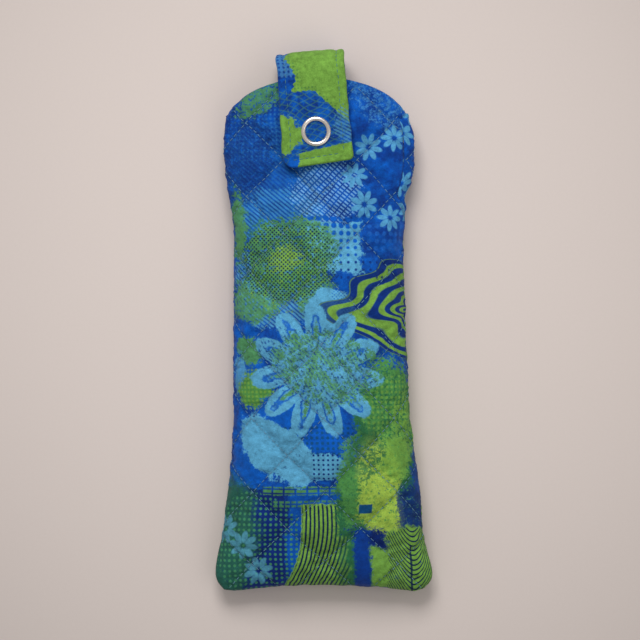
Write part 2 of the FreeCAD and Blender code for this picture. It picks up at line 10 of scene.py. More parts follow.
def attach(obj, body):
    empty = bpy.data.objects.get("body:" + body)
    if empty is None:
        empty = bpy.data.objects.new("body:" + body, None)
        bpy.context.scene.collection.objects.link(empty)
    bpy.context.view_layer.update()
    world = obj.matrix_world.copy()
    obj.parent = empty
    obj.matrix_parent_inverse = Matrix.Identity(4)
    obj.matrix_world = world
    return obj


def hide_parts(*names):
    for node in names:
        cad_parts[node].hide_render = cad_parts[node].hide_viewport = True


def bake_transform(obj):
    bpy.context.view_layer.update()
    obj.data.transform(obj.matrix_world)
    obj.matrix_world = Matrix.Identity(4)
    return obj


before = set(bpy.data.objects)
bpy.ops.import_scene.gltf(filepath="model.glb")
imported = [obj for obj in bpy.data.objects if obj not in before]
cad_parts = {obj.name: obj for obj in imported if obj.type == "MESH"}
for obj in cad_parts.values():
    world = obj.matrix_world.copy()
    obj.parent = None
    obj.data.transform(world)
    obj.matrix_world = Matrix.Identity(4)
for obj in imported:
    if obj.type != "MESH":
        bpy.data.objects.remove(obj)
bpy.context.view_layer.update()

# All lengths are millimetres in the frame's axes; meshes are scaled to metres when they are made.
MM = 0.001
LOW_END, NOTCH, ARCH_TOP = -95.6, 81.05, 95.25
SNAP = (-1.1, 75.85)
LEAN = math.radians(4.8)
QUILT_STEP, QUILT_AT = 27.48, (0.46, 79.2)
QUILT_COUNT = 9
WALL = 3.2
# Middle, half width and rise of the mouth's arch.
ARCH_X, ARCH_Y, ARCH_W, ARCH_RISE = -0.6, 77.75, 34.2, 17.5
# Pieces of the half turn that takes the cloth over the mouth edge.
ROLL = 6
# Heights of the cloth under the stud and of the cloth over the tab's sewn end.
UNDER_STUD, OVER_TAB = 17.42, 2.32
# The cloth map holds tenths of a metre.
MAP_UNIT = 100
RNG = np.random.default_rng(7)

# Outline of the pouch seen from the front: Y, left edge, right edge.
OUTLINE = np.array([
    (-95.6, -38.8, 42.8), (-87, -38.9, 42.6), (-82.5, -38.2, 41.2), (-78, -37.2, 39.9), (-73.5, -36.0, 38.9),
    (-67, -35.3, 38.5), (-58, -34.1, 38.0), (-49, -33.0, 36.5), (-38, -32.4, 35.0), (-29, -31.9, 33.8),
    (-15, -32.2, 33.4), (-2, -31.9, 32.5), (12, -32.0, 32.3), (25, -31.8, 31.6), (36, -31.8, 31.7),
    (45, -32.5, 32.2), (50, -33.3, 32.6), (54, -34.3, 33.3), (59, -34.9, 35.2), (66, -35.8, 35.9),
    (72, -35.9, 35.8), (77, -35.4, 35.3), (81, -35.0, 33.2), (84, -34.3, 33.2), (99, -34.3, 33.6)])
# Y, rise of the front over the seam, drop of the back under it, height of the seam
DEPTH = np.array([
    (-95.3, 4.6, 4.0, 7.4), (-87, 6.0, 5.0, 7.6), (-77, 8.8, 6.9, 8.1), (-61, 12.6, 8.3, 8.8),
    (-35, 15.6, 8.8, 9.0), (3, 16.2, 8.8, 9.0), (30, 14.2, 8.7, 9.0), (47, 10.8, 7.4, 9.0),
    (62, 8.2, 5.9, 9.0), (81, 7.9, 5.7, 9.0), (99, 7.6, 5.5, 9.0)])


# ---- shape of the pouch ----

ROW_STEP = 0.5
ROWS = np.arange(LOW_END, 99.01, ROW_STEP)


def smooth_rows(table, column, spread):
    """One column of a table at every row, smoothed along the pouch."""
    dense = np.interp(ROWS, table[:, 0], table[:, column])
    kernel = np.exp(-0.5 * (np.arange(-20, 21) * ROW_STEP / spread) ** 2)
    padded = np.pad(dense, 20, mode="reflect", reflect_type="odd")
    return np.convolve(padded, kernel / kernel.sum(), mode="valid")


def ease(x):
    x = np.clip(x, 0, 1)
    return x * x * (3 - 2 * x)


def row_shape():
    """Centre, half width, front rise, back drop, seam height and the seam's turn on each side, per row."""
    left = smooth_rows(OUTLINE, 1, 1.6)
    right = smooth_rows(OUTLINE, 2, 1.6)
    up = ROWS - LOW_END
    corner = np.where(up < 7, 7 - np.sqrt(np.clip(49 - (7 - up) ** 2, 0, None)), 0)
    close = np.sqrt(np.clip(1 - (1 - np.clip(up / 7, 0, 1)) ** 2, 0, 1))
    half = (right - left) / 2 - 0.2 - corner
    rise = smooth_rows(DEPTH, 1, 5) * close
    drop = smooth_rows(DEPTH, 2, 5) * close
    seam = smooth_rows(DEPTH, 3, 5)
    rolled = ease((ROWS - 44) / 9) * ease((86 - ROWS) / 6)
    turn_right = 90 - 27 * rolled
    turn_left = 90 + 3 * np.sin(ROWS * 0.07)
    return (left + right) / 2, half, rise, drop, seam, np.radians(turn_left), np.radians(turn_right)


CENTRE, HALF, RISE, DROP, SEAM, TURN_L, TURN_R = row_shape()
STEPS = 80


def loop_point(row, turn, inset):
    """Point of the pouch's cross-section; turn 0 is the middle of the front, pi the middle of the back."""
    half = np.maximum(HALF[row] - inset, 0.05)
    tall = np.where(np.cos(turn) > 0, RISE[row], DROP[row])
    tall = np.maximum(tall - inset * np.minimum(1, tall / 4), 0.02)
    return CENTRE[row] + half * np.sin(turn), SEAM[row] + tall * np.cos(turn)


def arc_tables(side, inset):
    """Per row and half: distances along the cloth from its middle, and the turns they lie at."""
    tables = []
    for row in range(len(ROWS)):
        pair = []
        for sign, edge in ((-1, TURN_L[row]), (1, TURN_R[row])):
            turns = np.linspace(0, edge, STEPS) if side == "front" else np.linspace(math.pi, edge, STEPS)
            x, z = loop_point(row, sign * turns, inset)
            length = np.concatenate([[0], np.cumsum(np.hypot(np.diff(x), np.diff(z)))])
            pair.append((length, turns))
        tables.append(pair)
    return tables


def to_space(tables, inset, across, along):
    """Places cloth points (across, along) on the pouch."""
    position = np.clip((along - ROWS[0]) / ROW_STEP, 0, len(ROWS) - 1.001)
    base = position.astype(int)
    share = position - base
    out = np.zeros((len(across), 3))
    for row in np.unique(base):
        for sign in (-1, 1):
            pick = np.nonzero((base == row) & ((across >= 0) == (sign > 0)))[0]
            if not len(pick):
                continue
            found = []
            for near in (row, row + 1):
                length, turns = tables[near][0 if sign < 0 else 1]
                turn = sign * np.interp(np.abs(across[pick]), length, turns)
                found.append(loop_point(near, turn, inset))
            w = share[pick]
            out[pick, 0] = found[0][0] * (1 - w) + found[1][0] * w
            out[pick, 2] = found[0][1] * (1 - w) + found[1][1] * w
    out[:, 1] = along + inset * ease((-84 - along) / 11)
    scoop = 2.4 * np.clip(1 - (out[:, 0] - 1.6) ** 2 / 34 ** 2, 0, 1) * ease((-70 - along) / 25)
    out[:, 1] += scoop
    return out


def reach(tables, along, sign):
    """Distance along the cloth from its middle to the seam."""
    lengths = np.array([pair[0 if sign < 0 else 1][0][-1] for pair in tables])
    return np.interp(along, ROWS, lengths)


def deeper(tables, side, inset, flat):
    """Places the same cloth points at another depth under the surface."""
    below = arc_tables(side, inset)
    ratio = [reach(below, y, np.sign(x) or 1) / reach(tables, y, np.sign(x) or 1) for x, y in flat]
    return to_space(below, inset, flat[:, 0] * np.array(ratio), flat[:, 1])


def arch_point(angle):
    return ARCH_X + ARCH_W * math.cos(angle), ARCH_Y + ARCH_RISE * math.sin(angle)


def arch_cloth(tables, inset, angle):
    """Cloth coordinates of a point of the mouth arch."""
    x, y = arch_point(angle)
    sign = 1 if x >= 0 else -1
    row = int(round((y - ROWS[0]) / ROW_STEP))
    length, turns = tables[row][0 if sign < 0 else 1]
    xs = loop_point(row, sign * turns, inset)[0] * sign
    return sign * float(np.interp(x * sign, xs, length)), y


def cloth_outline(tables, inset, step):
    """Closed outline of a panel, flat, and the span of it that is the mouth."""
    count = int((NOTCH - LOW_END) / step)
    rise = np.linspace(LOW_END, NOTCH, count + 1)
    right = [(float(reach(tables, y, 1)), float(y)) for y in rise]
    left = [(-float(reach(tables, y, -1)), float(y)) for y in rise]
    start = math.asin((NOTCH - ARCH_Y) / ARCH_RISE)
    arcs = np.linspace(start, math.pi - start, int(92 / step) + 1)[1:-1]
    arch = [arch_cloth(tables, inset, angle) for angle in arcs]
    width = right[0][0] - left[0][0]
    floor_count = int(width / step)
    floor = [(left[0][0] + width * k / floor_count, LOW_END) for k in range(1, floor_count)]
    points = right + arch + left[::-1] + floor
    return points, (len(right) - 1, len(right) + len(arch))


def line_offsets(across, along):
    """Distance of each cloth point to the nearest quilting line of either direction."""
    out = []
    for sign in (1, -1):
        value = (across - QUILT_AT[0]) - sign * (along - QUILT_AT[1])
        out.append(np.abs((value + QUILT_STEP / 2) % QUILT_STEP - QUILT_STEP / 2) / math.sqrt(2))
    return np.minimum(*out)


def quilt_rows(outline, step):
    """Points along the quilting lines inside a panel, as one list per line."""
    polygon = np.array(outline)
    lines = []
    for sign in (1, -1):
        for number in range(-QUILT_COUNT, QUILT_COUNT + 1):
            along = np.arange(LOW_END, ARCH_TOP + 1, step / math.sqrt(2))
            across = QUILT_AT[0] + number * QUILT_STEP + sign * (along - QUILT_AT[1])
            keep = inside(across, along, polygon)
            if keep.sum() > 2:
                lines.append(np.stack([across[keep], along[keep]], 1))
    return lines


def inside(x, y, polygon):
    """Even-odd test of points against a closed polygon."""
    result = np.zeros(len(x), bool)
    ends = np.roll(polygon, -1, axis=0)
    for (ax, ay), (bx, by) in zip(polygon, ends):
        if ay == by:
            continue
        crosses = ((ay > y) != (by > y)) & (x < (bx - ax) * (y - ay) / (by - ay) + ax)
        result ^= crosses
    return result


def near_any(points, others, limit):
    tree = KDTree(len(others))
    for number, (x, y) in enumerate(others):
        tree.insert((x, y, 0), number)
    tree.balance()
    return np.array([tree.find((x, y, 0))[2] < limit for x, y in points])


def cut_cloth(tables, inset, step):
    """Flat triangle mesh of a panel: points, triangles, border, mouth span, which points are quilted."""
    outline, mouth = cloth_outline(tables, inset, step)
    polygon = np.array(outline)
    on_line = np.concatenate(quilt_rows(outline, step))
    on_line = on_line[~near_any(on_line, outline, step * 0.6)]
    xs = np.arange(-48, 48, step)
    ys = np.arange(LOW_END, ARCH_TOP, step * 0.866)
    grid = np.array([(x + (0.5 * step if n % 2 else 0), y) for n, y in enumerate(ys) for x in xs])
    grid = grid[inside(grid[:, 0], grid[:, 1], polygon)]
    grid = grid[line_offsets(grid[:, 0], grid[:, 1]) > step * 0.55]
    grid = grid[~near_any(grid, outline, step * 0.6)]
    flat = np.concatenate([polygon, on_line, grid])
    corners = [Vector(p) for p in flat]
    verts, _, faces, origin, _, _ = delaunay_2d_cdt(corners, [], [list(range(len(outline)))], 1, 1e-5)
    verts = np.array([tuple(v) for v in verts])
    first = {source[0]: new for new, source in enumerate(origin) if source}
    border = [first[n] for n in range(len(outline))]
    quilted = line_offsets(verts[:, 0], verts[:, 1]) < 0.05
    return verts, [list(f) for f in faces], border, mouth, quilted


def new_mesh(name, points, faces):
    mesh = bpy.data.meshes.new(name)
    mesh.from_pydata([tuple(p) for p in np.asarray(points) * MM], [], [list(f) for f in faces])
    mesh.update()
    obj = bpy.data.objects.new(name, mesh)
    bpy.context.scene.collection.objects.link(obj)
    return obj


def set_cloth_map(obj, flat):
    """Keeps each vertex's place on the flat cloth as a UV map, in tenths of a metre, for the print."""
    layer = obj.data.uv_layers.new(name="cloth")
    index = np.zeros(len(obj.data.loops), int)
    obj.data.loops.foreach_get("vertex_index", index)
    layer.data.foreach_set("uv", (np.asarray(flat)[index, :2] / MAP_UNIT).astype(np.float32).ravel())


def smooth(obj, angle=50):
    obj.data.polygons.foreach_set("use_smooth", [True] * len(obj.data.polygons))
    obj.data.set_sharp_from_angle(angle=math.radians(angle))
    obj.data.update()


def vertex_normals(points, faces):
    tri = np.array(faces)
    cross = np.cross(points[tri[:, 1]] - points[tri[:, 0]], points[tri[:, 2]] - points[tri[:, 0]])
    out = np.zeros_like(points)
    for k in range(3):
        np.add.at(out, tri[:, k], cross)
    return out / np.maximum(np.linalg.norm(out, axis=1, keepdims=True), 1e-9)


# ---- padding by cloth simulation ----

ENLARGED, FRAMES = 10, 24


def inflate(points, faces, pinned, pressure, slack, cap):
    """Blows the cloth up between its sewn lines, enlarged to a size at which the solver behaves."""
    obj = new_mesh("inflating", np.asarray(points) * ENLARGED, faces)
    group = obj.vertex_groups.new(name="sewn")
    group.add([int(n) for n in np.nonzero(pinned)[0]], 1.0, "REPLACE")
    cloth = obj.modifiers.new("Cloth", "CLOTH")
    use = cloth.settings
    use.quality = 6
    use.mass = 0.25
    use.tension_stiffness = use.compression_stiffness = 25
    use.shear_stiffness = 10
    use.bending_stiffness = 0.6
    use.air_damping = 4
    use.use_pressure = True
    use.uniform_pressure_force = pressure
    use.shrink_min = -slack
    use.effector_weights.gravity = 0
    use.vertex_group_mass = "sewn"
    cloth.collision_settings.use_collision = False
    cloth.point_cache.frame_start, cloth.point_cache.frame_end = 1, FRAMES
    for number in range(1, FRAMES + 1):
        bpy.context.scene.frame_set(number)
    shaped = obj.evaluated_get(bpy.context.evaluated_depsgraph_get())
    result = np.array([v.co for v in shaped.data.vertices]) / (ENLARGED * MM)
    bpy.data.objects.remove(obj)
    bpy.context.scene.frame_set(1)
    move = result - points
    size = np.linalg.norm(move, axis=1, keepdims=True)
    return points + move * np.minimum(1, cap / np.maximum(size, 1e-6))


def puckers(flat):
    """Small gathers beside each sewn line, drawn in by the stitching."""
    away = line_offsets(flat[:, 0], flat[:, 1])
    share = ease((6.5 - away) / 5.5) * ease(away / 1.2)
    ripple = [noise.noise(Vector((x * 0.36, y * 0.36, 5.0))) for x, y in flat[:, :2]]
    return share * np.array(ripple) * 0.8


def to_tab(points):
    """Frame coordinates to the tab's own, measured from the snap."""
    x, y = points[:, 0] - SNAP[0], points[:, 1] - SNAP[1]
    c, s = math.cos(LEAN), math.sin(LEAN)
    return x * c + y * s, y * c - x * s


def seat_cloth(side, points):
    """Presses the padded cloth under the stud, clear of the tab's sewn end, and flat on the table."""
    across, along = to_tab(points)
    if side == "front":
        away = np.hypot(across, along)
        share = ease((away - 5.6) / 4.5)
        pressed = points[:, 2] * share + np.minimum(points[:, 2], UNDER_STUD) * (1 - share)
        points[:, 2] = np.where(points[:, 2] > 12, pressed, points[:, 2])
    else:
        under = ease((14.5 - np.abs(across)) / 2) * ease((along + 15) / 3)
        lift = np.where(points[:, 2] < 8, np.maximum(OVER_TAB - points[:, 2], 0), 0) * under
        points[:, 2] += lift
        points[:, 2] = np.where(points[:, 2] < 8, np.maximum(points[:, 2], 0.03), points[:, 2])
    return points


def roll_mouth(points, faces, border, mouth, inner):
    """Turns the cloth over the mouth edge, from the outer panel to the lining's edge."""
    points = [tuple(p) for p in points]
    edge = border[mouth[0]:mouth[1] + 1]
    outer = np.array([points[n] for n in edge])
    along = np.gradient(outer, axis=0)
    through = inner - outer
    away = np.cross(along, through)
    away /= np.maximum(np.linalg.norm(away, axis=1, keepdims=True), 1e-9)
    middle = outer.mean(0)
    away *= np.sign(((outer - middle) * away).sum(1).mean())
    gap = np.linalg.norm(through, axis=1, keepdims=True)
    ring = edge
    for k in range(1, ROLL + 1):
        turn = math.pi * k / ROLL
        place = outer + through * (1 - math.cos(turn)) / 2 + away * gap * 0.42 * math.sin(turn)
        start = len(points)
        points += [tuple(p) for p in place]
        fresh = list(range(start, start + len(edge)))
        for a, b, c, d in zip(ring, ring[1:], fresh[1:], fresh):
            faces.append([b, a, d, c])
        ring = fresh
    return np.array(points), faces


def thicken(obj, thick):
    """Gives a sheet its thickness, inwards, and leaves no modifier behind."""
    solid = obj.modifiers.new("Solidify", "SOLIDIFY")
    solid.thickness = thick * MM
    solid.offset = -1
    shaped = bpy.data.meshes.new_from_object(obj.evaluated_get(bpy.context.evaluated_depsgraph_get()))
    obj.modifiers.clear()
    obj.data = shaped


def flip(faces):
    return [f[::-1] for f in faces]


def outer_panel(side, step):
    """The printed cloth of one side: cut, inflated between its quilting lines, turned over the mouth edge."""
    tables = arc_tables(side, 0)
    flat, faces, border, mouth, quilted = cut_cloth(tables, 0, step)
    points = to_space(tables, 0, flat[:, 0], flat[:, 1])
    if side == "back":
        faces = flip(faces)
    pinned = quilted.copy()
    pinned[border] = True
    if side == "front":
        pinned |= np.hypot(points[:, 0] - SNAP[0], points[:, 1] - SNAP[1]) < 5.4
    puffed = inflate(points, faces, pinned, pressure=120.0, slack=0.04, cap=3.4)
    puffed += vertex_normals(puffed, faces) * puckers(flat)[:, None]
    puffed = seat_cloth(side, puffed)
    edge = flat[border[mouth[0]:mouth[1] + 1]]
    points, faces = roll_mouth(puffed, faces, border, mouth, deeper(tables, side, WALL - 0.5, edge))
    climb = np.repeat(np.arange(1, ROLL + 1)[:, None], len(edge), 0) * np.array([[0, 0.7]])
    extra = np.tile(edge, (ROLL, 1)) + climb
    obj = new_mesh(f"{side}_panel_cloth", points, faces)
    set_cloth_map(obj, np.concatenate([flat[:, :2], extra]))
    smooth(obj, 80)
    thicken(obj, 0.35)
    return obj, tables


def closed_pad(name, side, outside, inside, step):
    """A closed layer between two depths, with the same cut as the panel."""
    tables = arc_tables(side, outside)
    flat, faces, border, _, _ = cut_cloth(tables, outside, step)
    top = to_space(tables, outside, flat[:, 0], flat[:, 1])
    if side == "back":
        faces = flip(faces)
    top = seat_cloth(side, top)
    below = deeper(tables, side, inside, flat)
    count = len(top)
    lower = [[n + count for n in f[::-1]] for f in faces]
    rim = border if side == "front" else border[::-1]
    wall = flip([[a, b, b + count, a + count] for a, b in zip(rim, rim[1:] + rim[:1])])
    obj = new_mesh(name, np.concatenate([top, below]), faces + lower + wall)
    set_cloth_map(obj, np.concatenate([flat, flat]))
    smooth(obj, 60)
    return obj


# ---- stitches ----

def closed_tube(rings, around, first=0):
    """Faces of a tube of rings of points, closed at both ends."""
    faces = []
    for row in range(rings - 1):
        for k in range(around):
            a, b = first + row * around + k, first + row * around + (k + 1) % around
            faces.append([a, b, b + around, a + around])
    last = first + (rings - 1) * around
    return faces + [list(range(first, first + around))[::-1], list(range(last, last + around))]


def stitches(name, paths, up, length=1.6, gap=0.6, wide=0.12, tall=0.11):
    """Separate stitches along paths of points; up gives the cloth's outward direction at each point."""
    points, faces = [], []
    turns = np.linspace(0, 2 * math.pi, 7)[:-1]
    shape = [(0.0, 0.35, -0.16), (0.12, 0.85, 0.0), (0.5, 1.0, 0.07), (0.88, 0.85, 0.0), (1.0, 0.35, -0.16)]
    for path, normal in zip(paths, up):
        travel = np.concatenate([[0], np.cumsum(np.linalg.norm(np.diff(path, axis=0), axis=1))])
        for start in np.arange(0.4, travel[-1] - length, length + gap):
            jitter = RNG.normal(0, 0.04)
            spots = [[np.interp(start + share * length, travel, column[:, k]) for k in range(3)]
                     for column in (path, normal) for share, _, _ in shape]
            spots = np.array(spots)
            places, outs = spots[:5], spots[5:]
            run = places[-1] - places[0]
            run /= max(np.linalg.norm(run), 1e-9)
            faces += closed_tube(len(shape), len(turns), len(points))
            for (_, size, lift), place, out in zip(shape, places, outs):
                out = out / np.linalg.norm(out)
                aside = np.cross(run, out)
                centre = place + out * (lift + tall * 0.6) + aside * jitter
                for turn in turns:
                    across, above = wide * size * math.cos(turn), tall * size * math.sin(turn)
                    points.append(centre + aside * across + out * above)
    obj = new_mesh(name, points, flip(faces))
    smooth(obj)
    return obj


def quilting_stitches(side, tables):
    outline, _ = cloth_outline(tables, 0, 1.0)
    paths, up = [], []
    for line in quilt_rows(outline, 0.8):
        place = to_space(tables, 0, line[:, 0], line[:, 1])
        lifted = to_space(tables, 0, line[:, 0] + 0.3, line[:, 1]) - place
        further = to_space(tables, 0, line[:, 0], np.minimum(line[:, 1] + 0.3, ARCH_TOP)) - place
        out = np.cross(lifted, further) * (1 if side == "front" else -1)
        across, along = to_tab(place)
        if side == "front":
            keep = (np.hypot(across, along) > 6.2)
        else:
            keep = ((np.abs(across) > 14) | (along < -14)) & (place[:, 2] > 0.4)
        for run in np.split(np.arange(len(line)), np.nonzero(~keep)[0]):
            run = run[keep[run]]
            if len(run) > 6:
                paths.append(place[run])
                up.append(out[run])
    return stitches(f"{side}_quilting_stitches", paths, up)


def seam_stitches(tables):
    paths, up = [], []
    for sign in (-1, 1):
        rows = np.arange(LOW_END + 3, NOTCH - 1, 1.5)
        across = sign * (reach(tables, rows, sign) - 1.2)
        place = to_space(tables, 1.4, across, rows)
        paths.append(place - (0, 0, 0.6))
        up.append(np.tile((0.0, 0.0, 1.0), (len(rows), 1)))
    x = np.arange(-29, 30, 1.5)
    low = np.stack([x + 1.6, np.full_like(x, LOW_END + 3.8) - x * x / 500, np.full_like(x, 7.5)], 1)
    paths.append(low)
    up.append(np.tile((0.0, 0.0, 1.0), (len(x), 1)))
    return stitches("side_seam_stitches", paths, up, 2.0, 0.5)


# ---- tab ----

ROOT, TIP, BEND_Y, BEND_R, LOW_Z, HIGH_Z = -12.6, -12.3, 20.6, 8.5, 1.25, 21.3
BEND = math.pi / 2 * BEND_R
SPAN = (BEND_Y - ROOT, BEND, HIGH_Z - LOW_Z - 2 * BEND_R, BEND, BEND_Y - TIP)
MARKS = np.concatenate([[0], np.cumsum(SPAN)])
MIDWAY = (MARKS[2] + MARKS[3]) / 2
# Half width of the tab, its edge stitching from the middle, and the hem stitching from the end.
TAB_WIDE, TAB_SEWN, TAB_HEM = 12.7, 9.8, 2.9


def tab_bend(turn, z):
    out = (math.sin(turn), -math.cos(turn))
    return (BEND_Y + BEND_R * out[0], z + BEND_R * out[1]), out


def tab_line(travel):
    """Middle of the tab in its own side view: place (Y, Z), outward direction (Y, Z)."""
    if travel < MARKS[1]:
        return (ROOT + travel, LOW_Z), (0.0, -1.0)
    if travel < MARKS[2]:
        return tab_bend((travel - MARKS[1]) / BEND_R, LOW_Z + BEND_R)
    if travel < MARKS[3]:
        return (BEND_Y + BEND_R, LOW_Z + BEND_R + travel - MARKS[2]), (1.0, 0.0)
    if travel < MARKS[4]:
        return tab_bend((travel - MARKS[3]) / BEND_R + math.pi / 2, HIGH_Z - BEND_R)
    return (BEND_Y - (travel - MARKS[4]), HIGH_Z), (0.0, 1.0)


def tab_point(x, travel, lift):
    """Point of the tab at x across it, travel along it and lift off its middle, in the frame."""
    (y, z), (out_y, out_z) = tab_line(travel)
    sway = 0.5 * noise.noise(Vector((7.0 if x > 0 else -7.0, travel * 0.16, 0.5)))
    x += sway * abs(x) / TAB_WIDE
    if travel > MARKS[4]:
        y += 0.062 * x * ease((travel - MARKS[4]) / SPAN[4])
    wave = 0.35 * noise.noise(Vector((x * 0.11, travel * 0.05, 3.7))) * ease((travel - MARKS[1]) / 8)
    wave *= ease((MARKS[5] - 22 - travel) / 8)
    y += out_y * (lift + wave)
    z += out_z * (lift + wave)
    c, s = math.cos(LEAN), math.sin(LEAN)
    return SNAP[0] + x * c - y * s, SNAP[1] + x * s + y * c, z


def tab_half(x, travel, wide, outer):
    """Half thickness of the tab at a place: rolled edges, a sewn groove beside them, a soft middle."""
    edge = wide - abs(x)
    end = min(travel, MARKS[5] - travel)
    near = min(edge, end)
    half = 0.9 * math.sqrt(max(0.0, 1 - (1 - min(near, 0.9) / 0.9) ** 2))
    half -= 0.42 * math.exp(-((near - TAB_HEM) / 0.6) ** 2)
    if outer:
        ripple = noise.noise(Vector((x * 0.3, travel * 0.3, 1.2)))
        puff = 0.34 * ease((near - 3.6) / 3.0) + 0.22 * ripple
        half += puff * ease((travel - MARKS[1]) / 8)
        if travel > MARKS[4]:
            away = math.hypot(x, (BEND_Y - (travel - MARKS[4])))
            half = half + (0.89 - half) * (1 - ease((away - 5.9) / 2.2))
    return half


def tab_width(travel, sign):
    """Half width of the tab at a place along it, with its rounded corners."""
    end = min(travel, MARKS[5] - travel)
    corner = 4.4 if sign < 0 else 1.8
    cut = corner - math.sqrt(max(0.0, corner ** 2 - max(0.0, corner - end) ** 2))
    return TAB_WIDE + 0.5 * ease((travel - MARKS[4]) / SPAN[4]) - min(cut, corner)


def tab_cloth(name, start, end):
    """One closed length of the tab, from start to end along it; each side is a grid of points."""
    rows = [start]
    while rows[-1] < end - 0.05:
        near = min(rows[-1], MARKS[5] - rows[-1])
        rows.append(min(end, rows[-1] + (0.8 if near > 3 else 0.15 if near < 1.2 else 0.35)))
    columns = np.sin(np.linspace(-math.pi / 2, math.pi / 2, 57))
    columns = 0.55 * columns + 0.45 * np.linspace(-1, 1, 57)
    points, cloth = [], []
    for travel in rows:
        for outer in (True, False):
            for u in (columns if outer else columns[::-1][1:-1]):
                wide = tab_width(travel, u)
                x = u * wide
                lift = tab_half(x, travel, wide, outer) * (1 if outer else -1)
                points.append(tab_point(x, travel, lift))
                cloth.append((x, travel) if outer else (-x, travel + 30))
    obj = new_mesh(name, points, closed_tube(len(rows), 2 * len(columns) - 2))
    set_cloth_map(obj, cloth)
    smooth(obj, 55)
    return obj


def tab_path(spots, wide=None):
    """Places on the tab's outer face, and the outward directions there, from pairs of x and travel."""
    path, out = [], []
    for x, travel in spots:
        half = tab_half(x, travel, wide or tab_width(travel, x), True)
        path.append(tab_point(x, travel, half))
        out.append(np.array(tab_point(x, travel, half + 1)) - path[-1])
    return np.array(path), np.array(out)


def tab_edges(start, end):
    return [tab_path([(sign * TAB_SEWN, t) for t in np.arange(start, end, 0.7)]) for sign in (-1, 1)]


def tab_across(travel):
    return tab_path([(x, travel) for x in np.arange(-TAB_SEWN, TAB_SEWN, 0.7)], TAB_WIDE)


def tab_stitches():
    """Edge stitching of both lengths of the tab and the sewn square that holds its root to the back."""
    low, high, end = TAB_HEM, 17.0, MARKS[5] - TAB_HEM
    slant = [(TAB_SEWN * (2 * (t - low) / (high - low) - 1), t) for t in np.arange(low, high, 0.6)]
    cross = [tab_path([(sign * x, t) for x, t in slant]) for sign in (-1, 1)]
    rear = tab_edges(0.5, MIDWAY - 0.3) + [tab_across(low), tab_across(high)] + cross
    front = tab_edges(MIDWAY + 0.3, end) + [tab_across(end)]
    return stitches("tab_rear_stitches", *zip(*rear)), stitches("tab_front_stitches", *zip(*front))


def tab_core(name, start, end):
    """Stiffening strip inside the tab."""
    rows = np.linspace(start, end, int((end - start) / 1.2) + 2)
    columns = np.linspace(-11.6, 11.6, 20)
    points = []
    for travel in rows:
        for lift in (0.35, -0.35):
            for x in (columns if lift > 0 else columns[::-1]):
                ripple = 0.03 * math.sin(x * 2.1) * math.cos(travel * 1.7)
                points.append(tab_point(x, travel, lift + ripple))
    obj = new_mesh(name, points, closed_tube(len(rows), 2 * len(columns)))
    smooth(obj, 40)
    return obj


# ---- node expressions ----

class Paint:
    """Builds a material's node tree from arithmetic on values."""

    def __init__(self, name):
        self.material = bpy.data.materials.new(name)
        self.material.use_nodes = True
        self.tree = self.material.node_tree
        self.surface = self.tree.nodes["Principled BSDF"]

    def node(self, kind, **inputs):
        node = self.tree.nodes.new(kind)
        for name, item in inputs.items():
            self.feed(node.inputs[name.replace("_", " ")], item)
        return node

    def feed(self, socket, item):
        if isinstance(item, Value):
            item = item.socket
        if isinstance(item, bpy.types.NodeSocket):
            self.tree.links.new(item, socket)
        else:
            socket.default_value = item

    def math(self, kind, *items):
        node = self.tree.nodes.new("ShaderNodeMath")
        node.operation = kind
        for socket, item in zip(node.inputs, items):
            self.feed(socket, item)
        return Value(self, node.outputs[0])

    def cloth_place(self):
        """Place on the flat cloth in millimetres."""
        source = self.node("ShaderNodeUVMap")
        source.uv_map = "cloth"
        parts = self.node("ShaderNodeSeparateXYZ", Vector=source.outputs["UV"])
        return [Value(self, parts.outputs[k]) * MAP_UNIT for k in range(2)]

    def at(self, x, y, z=0.0):
        return self.node("ShaderNodeCombineXYZ", X=x, Y=y, Z=z).outputs[0]

    def noise(self, place, scale, detail=2.0, rough=0.5, colour=False):
        node = self.node("ShaderNodeTexNoise", Vector=place, Scale=scale, Detail=detail, Roughness=rough)
        return node.outputs["Color"] if colour else Value(self, node.outputs["Fac"])

    def mix(self, share, first, second, blend="MIX"):
        node = self.tree.nodes.new("ShaderNodeMix")
        node.data_type, node.blend_type = "RGBA", blend
        self.feed(node.inputs["Factor"], share)
        self.feed(node.inputs[6], first)
        self.feed(node.inputs[7], second)
        return node.outputs[2]

    def fixed(self, **values):
        for name, value in values.items():
            self.surface.inputs[name.replace("_", " ")].default_value = value

    def finish(self, colour, rough, height, strength):
        """Joins colour, roughness and bump to the surface."""
        bump = self.node("ShaderNodeBump", Height=height, Distance=0.001, Strength=strength)
        for name, item in (("Base Color", colour), ("Roughness", rough), ("Normal", bump.outputs[0])):
            self.feed(self.surface.inputs[name], item)
        return self.material


class Value:
    """A number in a node tree."""

    def __init__(self, paint, socket):
        self.paint, self.socket = paint, socket

    def near(self, step):
        """Signed distance to the nearest multiple of step."""
        return self.paint.math("WRAP", self, step * 0.5, step * -0.5)


def forward(kind):
    return lambda value, *others: value.paint.math(kind, value, *others)


def backward(kind):
    return lambda value, other: value.paint.math(kind, other, value)


for word, kind in (("add", "ADD"), ("sub", "SUBTRACT"), ("mul", "MULTIPLY"), ("truediv", "DIVIDE")):
    setattr(Value, f"__{word}__", forward(kind))
    setattr(Value, f"__r{word}__", backward(kind))
for word, kind in (("sin", "SINE"), ("cos", "COSINE"), ("abs", "ABSOLUTE"), ("sqrt", "SQRT"),
                   ("atan2", "ARCTAN2"), ("low", "MINIMUM"), ("high", "MAXIMUM")):
    setattr(Value, word, forward(kind))


